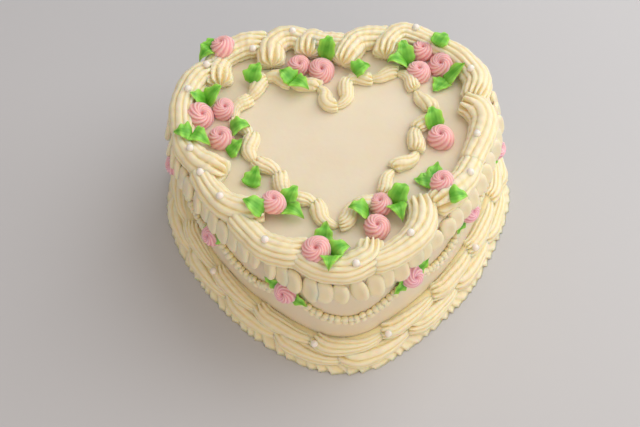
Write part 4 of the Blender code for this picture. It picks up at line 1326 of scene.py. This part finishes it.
@dataclass(frozen=True)
class Studio:
    """Plain pale floor, soft lights and a camera at the photograph's viewing angle."""

    lens: float = 67.5
    sensor: float = 36.0
    camera_place: tuple[float, float, float] = (0.0006, -0.4445, 0.7335)
    camera_turn: tuple[float, float, float] = (31.872, 2.408, -2.122)
    floor_size: float = 24.0
    floor_colour: str = "#C5C6C9"
    floor_roughness: float = 0.8
    surround_colour: str = "#E9E6E6"
    surround_strength: float = 0.51
    aim: tuple[float, float, float] = (0.0, 0.0, 0.06)

    LAMPS = [
        Lamp("key", (0.75, 0.35, 0.90), 1.4, 13.1, "#FFFDFB"),
        Lamp("fill", (-0.70, -0.50, 0.90), 1.4, 1.7, "#FFD6A8"),
        Lamp("front", (0.35, -1.20, 0.45), 1.2, 5.4, "#FFE4C4"),
    ]

    def floor(self) -> None:
        """Adds the floor, a single square, which isn't part of the cake."""
        half = self.floor_size / 2
        corners = [(-half, -half, 0), (half, -half, 0), (half, half, 0), (-half, half, 0)]
        mesh = bpy.data.meshes.new("floor")
        mesh.from_pydata(corners, [], [(0, 1, 2, 3)])
        finish = bpy.data.materials.new("matte_paper")
        finish.use_nodes = True
        shader = finish.node_tree.nodes["Principled BSDF"]
        shader.inputs["Base Color"].default_value = hex_colour(self.floor_colour)
        shader.inputs["Roughness"].default_value = self.floor_roughness
        mesh.materials.append(finish)
        floor = bpy.data.objects.new("floor", mesh)
        bpy.context.scene.collection.objects.link(floor)

    def light(self, lamp: Lamp) -> None:
        """Adds a lamp, turned so that its back points away from the cake."""
        data = bpy.data.lights.new(lamp.name, "AREA")
        data.size = lamp.size
        data.energy = lamp.power
        data.color = hex_colour(lamp.colour)[:3]
        item = bpy.data.objects.new(lamp.name, data)
        bpy.context.scene.collection.objects.link(item)
        back = unit(np.array(lamp.place) - np.array(self.aim))
        side = unit(np.cross([0.0, 0.0, 1.0], back))
        rows = np.stack([side, np.cross(back, side), back], axis=1)
        matrix = np.eye(4)
        matrix[:3, :3] = rows
        matrix[:3, 3] = lamp.place
        item.matrix_world = Matrix(matrix.tolist())

    def camera(self) -> None:
        """Adds the camera and makes it the scene's."""
        data = bpy.data.cameras.new("camera")
        data.lens = self.lens
        data.sensor_width = self.sensor
        data.sensor_fit = "HORIZONTAL"
        camera = bpy.data.objects.new("camera", data)
        camera.location = self.camera_place
        camera.rotation_euler = [math.radians(a) for a in self.camera_turn]
        bpy.context.scene.collection.objects.link(camera)
        bpy.context.scene.camera = camera

    def build(self) -> None:
        """Adds everything, with a soft grey surround and plain colour handling."""
        self.floor()
        for lamp in self.LAMPS:
            self.light(lamp)
        self.camera()
        world = bpy.data.worlds.new("studio")
        world.use_nodes = True
        background = world.node_tree.nodes["Background"]
        background.inputs["Color"].default_value = hex_colour(self.surround_colour)
        background.inputs["Strength"].default_value = self.surround_strength
        bpy.context.scene.world = world
        bpy.context.scene.view_settings.view_transform = "Standard"


def main() -> None:
    """Builds the studio and every part of the cake."""
    logging.basicConfig(level=logging.INFO, format="%(message)s")
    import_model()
    Studio().build()
    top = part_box("cake_body")[1].z
    ruffle_low, ruffle_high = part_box("ruffle")
    cream = PIPED_CREAM.material()
    rose = ROSE_CREAM.material()
    leaf = LEAF_CREAM.material()
    pearl = PEARL_GLAZE.material()

    IcedBody(top).build(SMOOTH_ICING.material())
    border = TopBorder(top)
    border.build(cream)
    small = SmallHeart(top)
    small.build(cream)
    Ruffle(ruffle_high.z, ruffle_low.z).build(cream)
    Garland(tuple(seat[0] for seat in Posies.SEATS)).build(cream)
    lower = FootRow("foot_shells_lower", "foot_lower", out=10.0 * MM, height=8.0 * MM, radius=7.7 * MM,
                    phase=0.0, dive=5.0 * MM, seed=700)
    upper = FootRow("foot_shells_upper", "foot_upper", out=5.6 * MM, height=16.8 * MM, radius=6.5 * MM,
                    phase=0.6, dive=3.8 * MM, seed=800)
    lower.build(cream)
    upper.build(cream)
    Frill(reach=19.4 * MM).build(cream)

    centres, radii = (np.concatenate(pair) for pair in zip(border.balls, small.balls))
    ground = Ground(top, centres, radii)
    TopRoses(ground).build(rose)
    TopLeaves(ground).build(leaf)
    Posies().build(WALL_ROSE_CREAM.material(), leaf)
    Pearls(ground).build(upper, pearl)


if __name__ == "__main__":
    main()
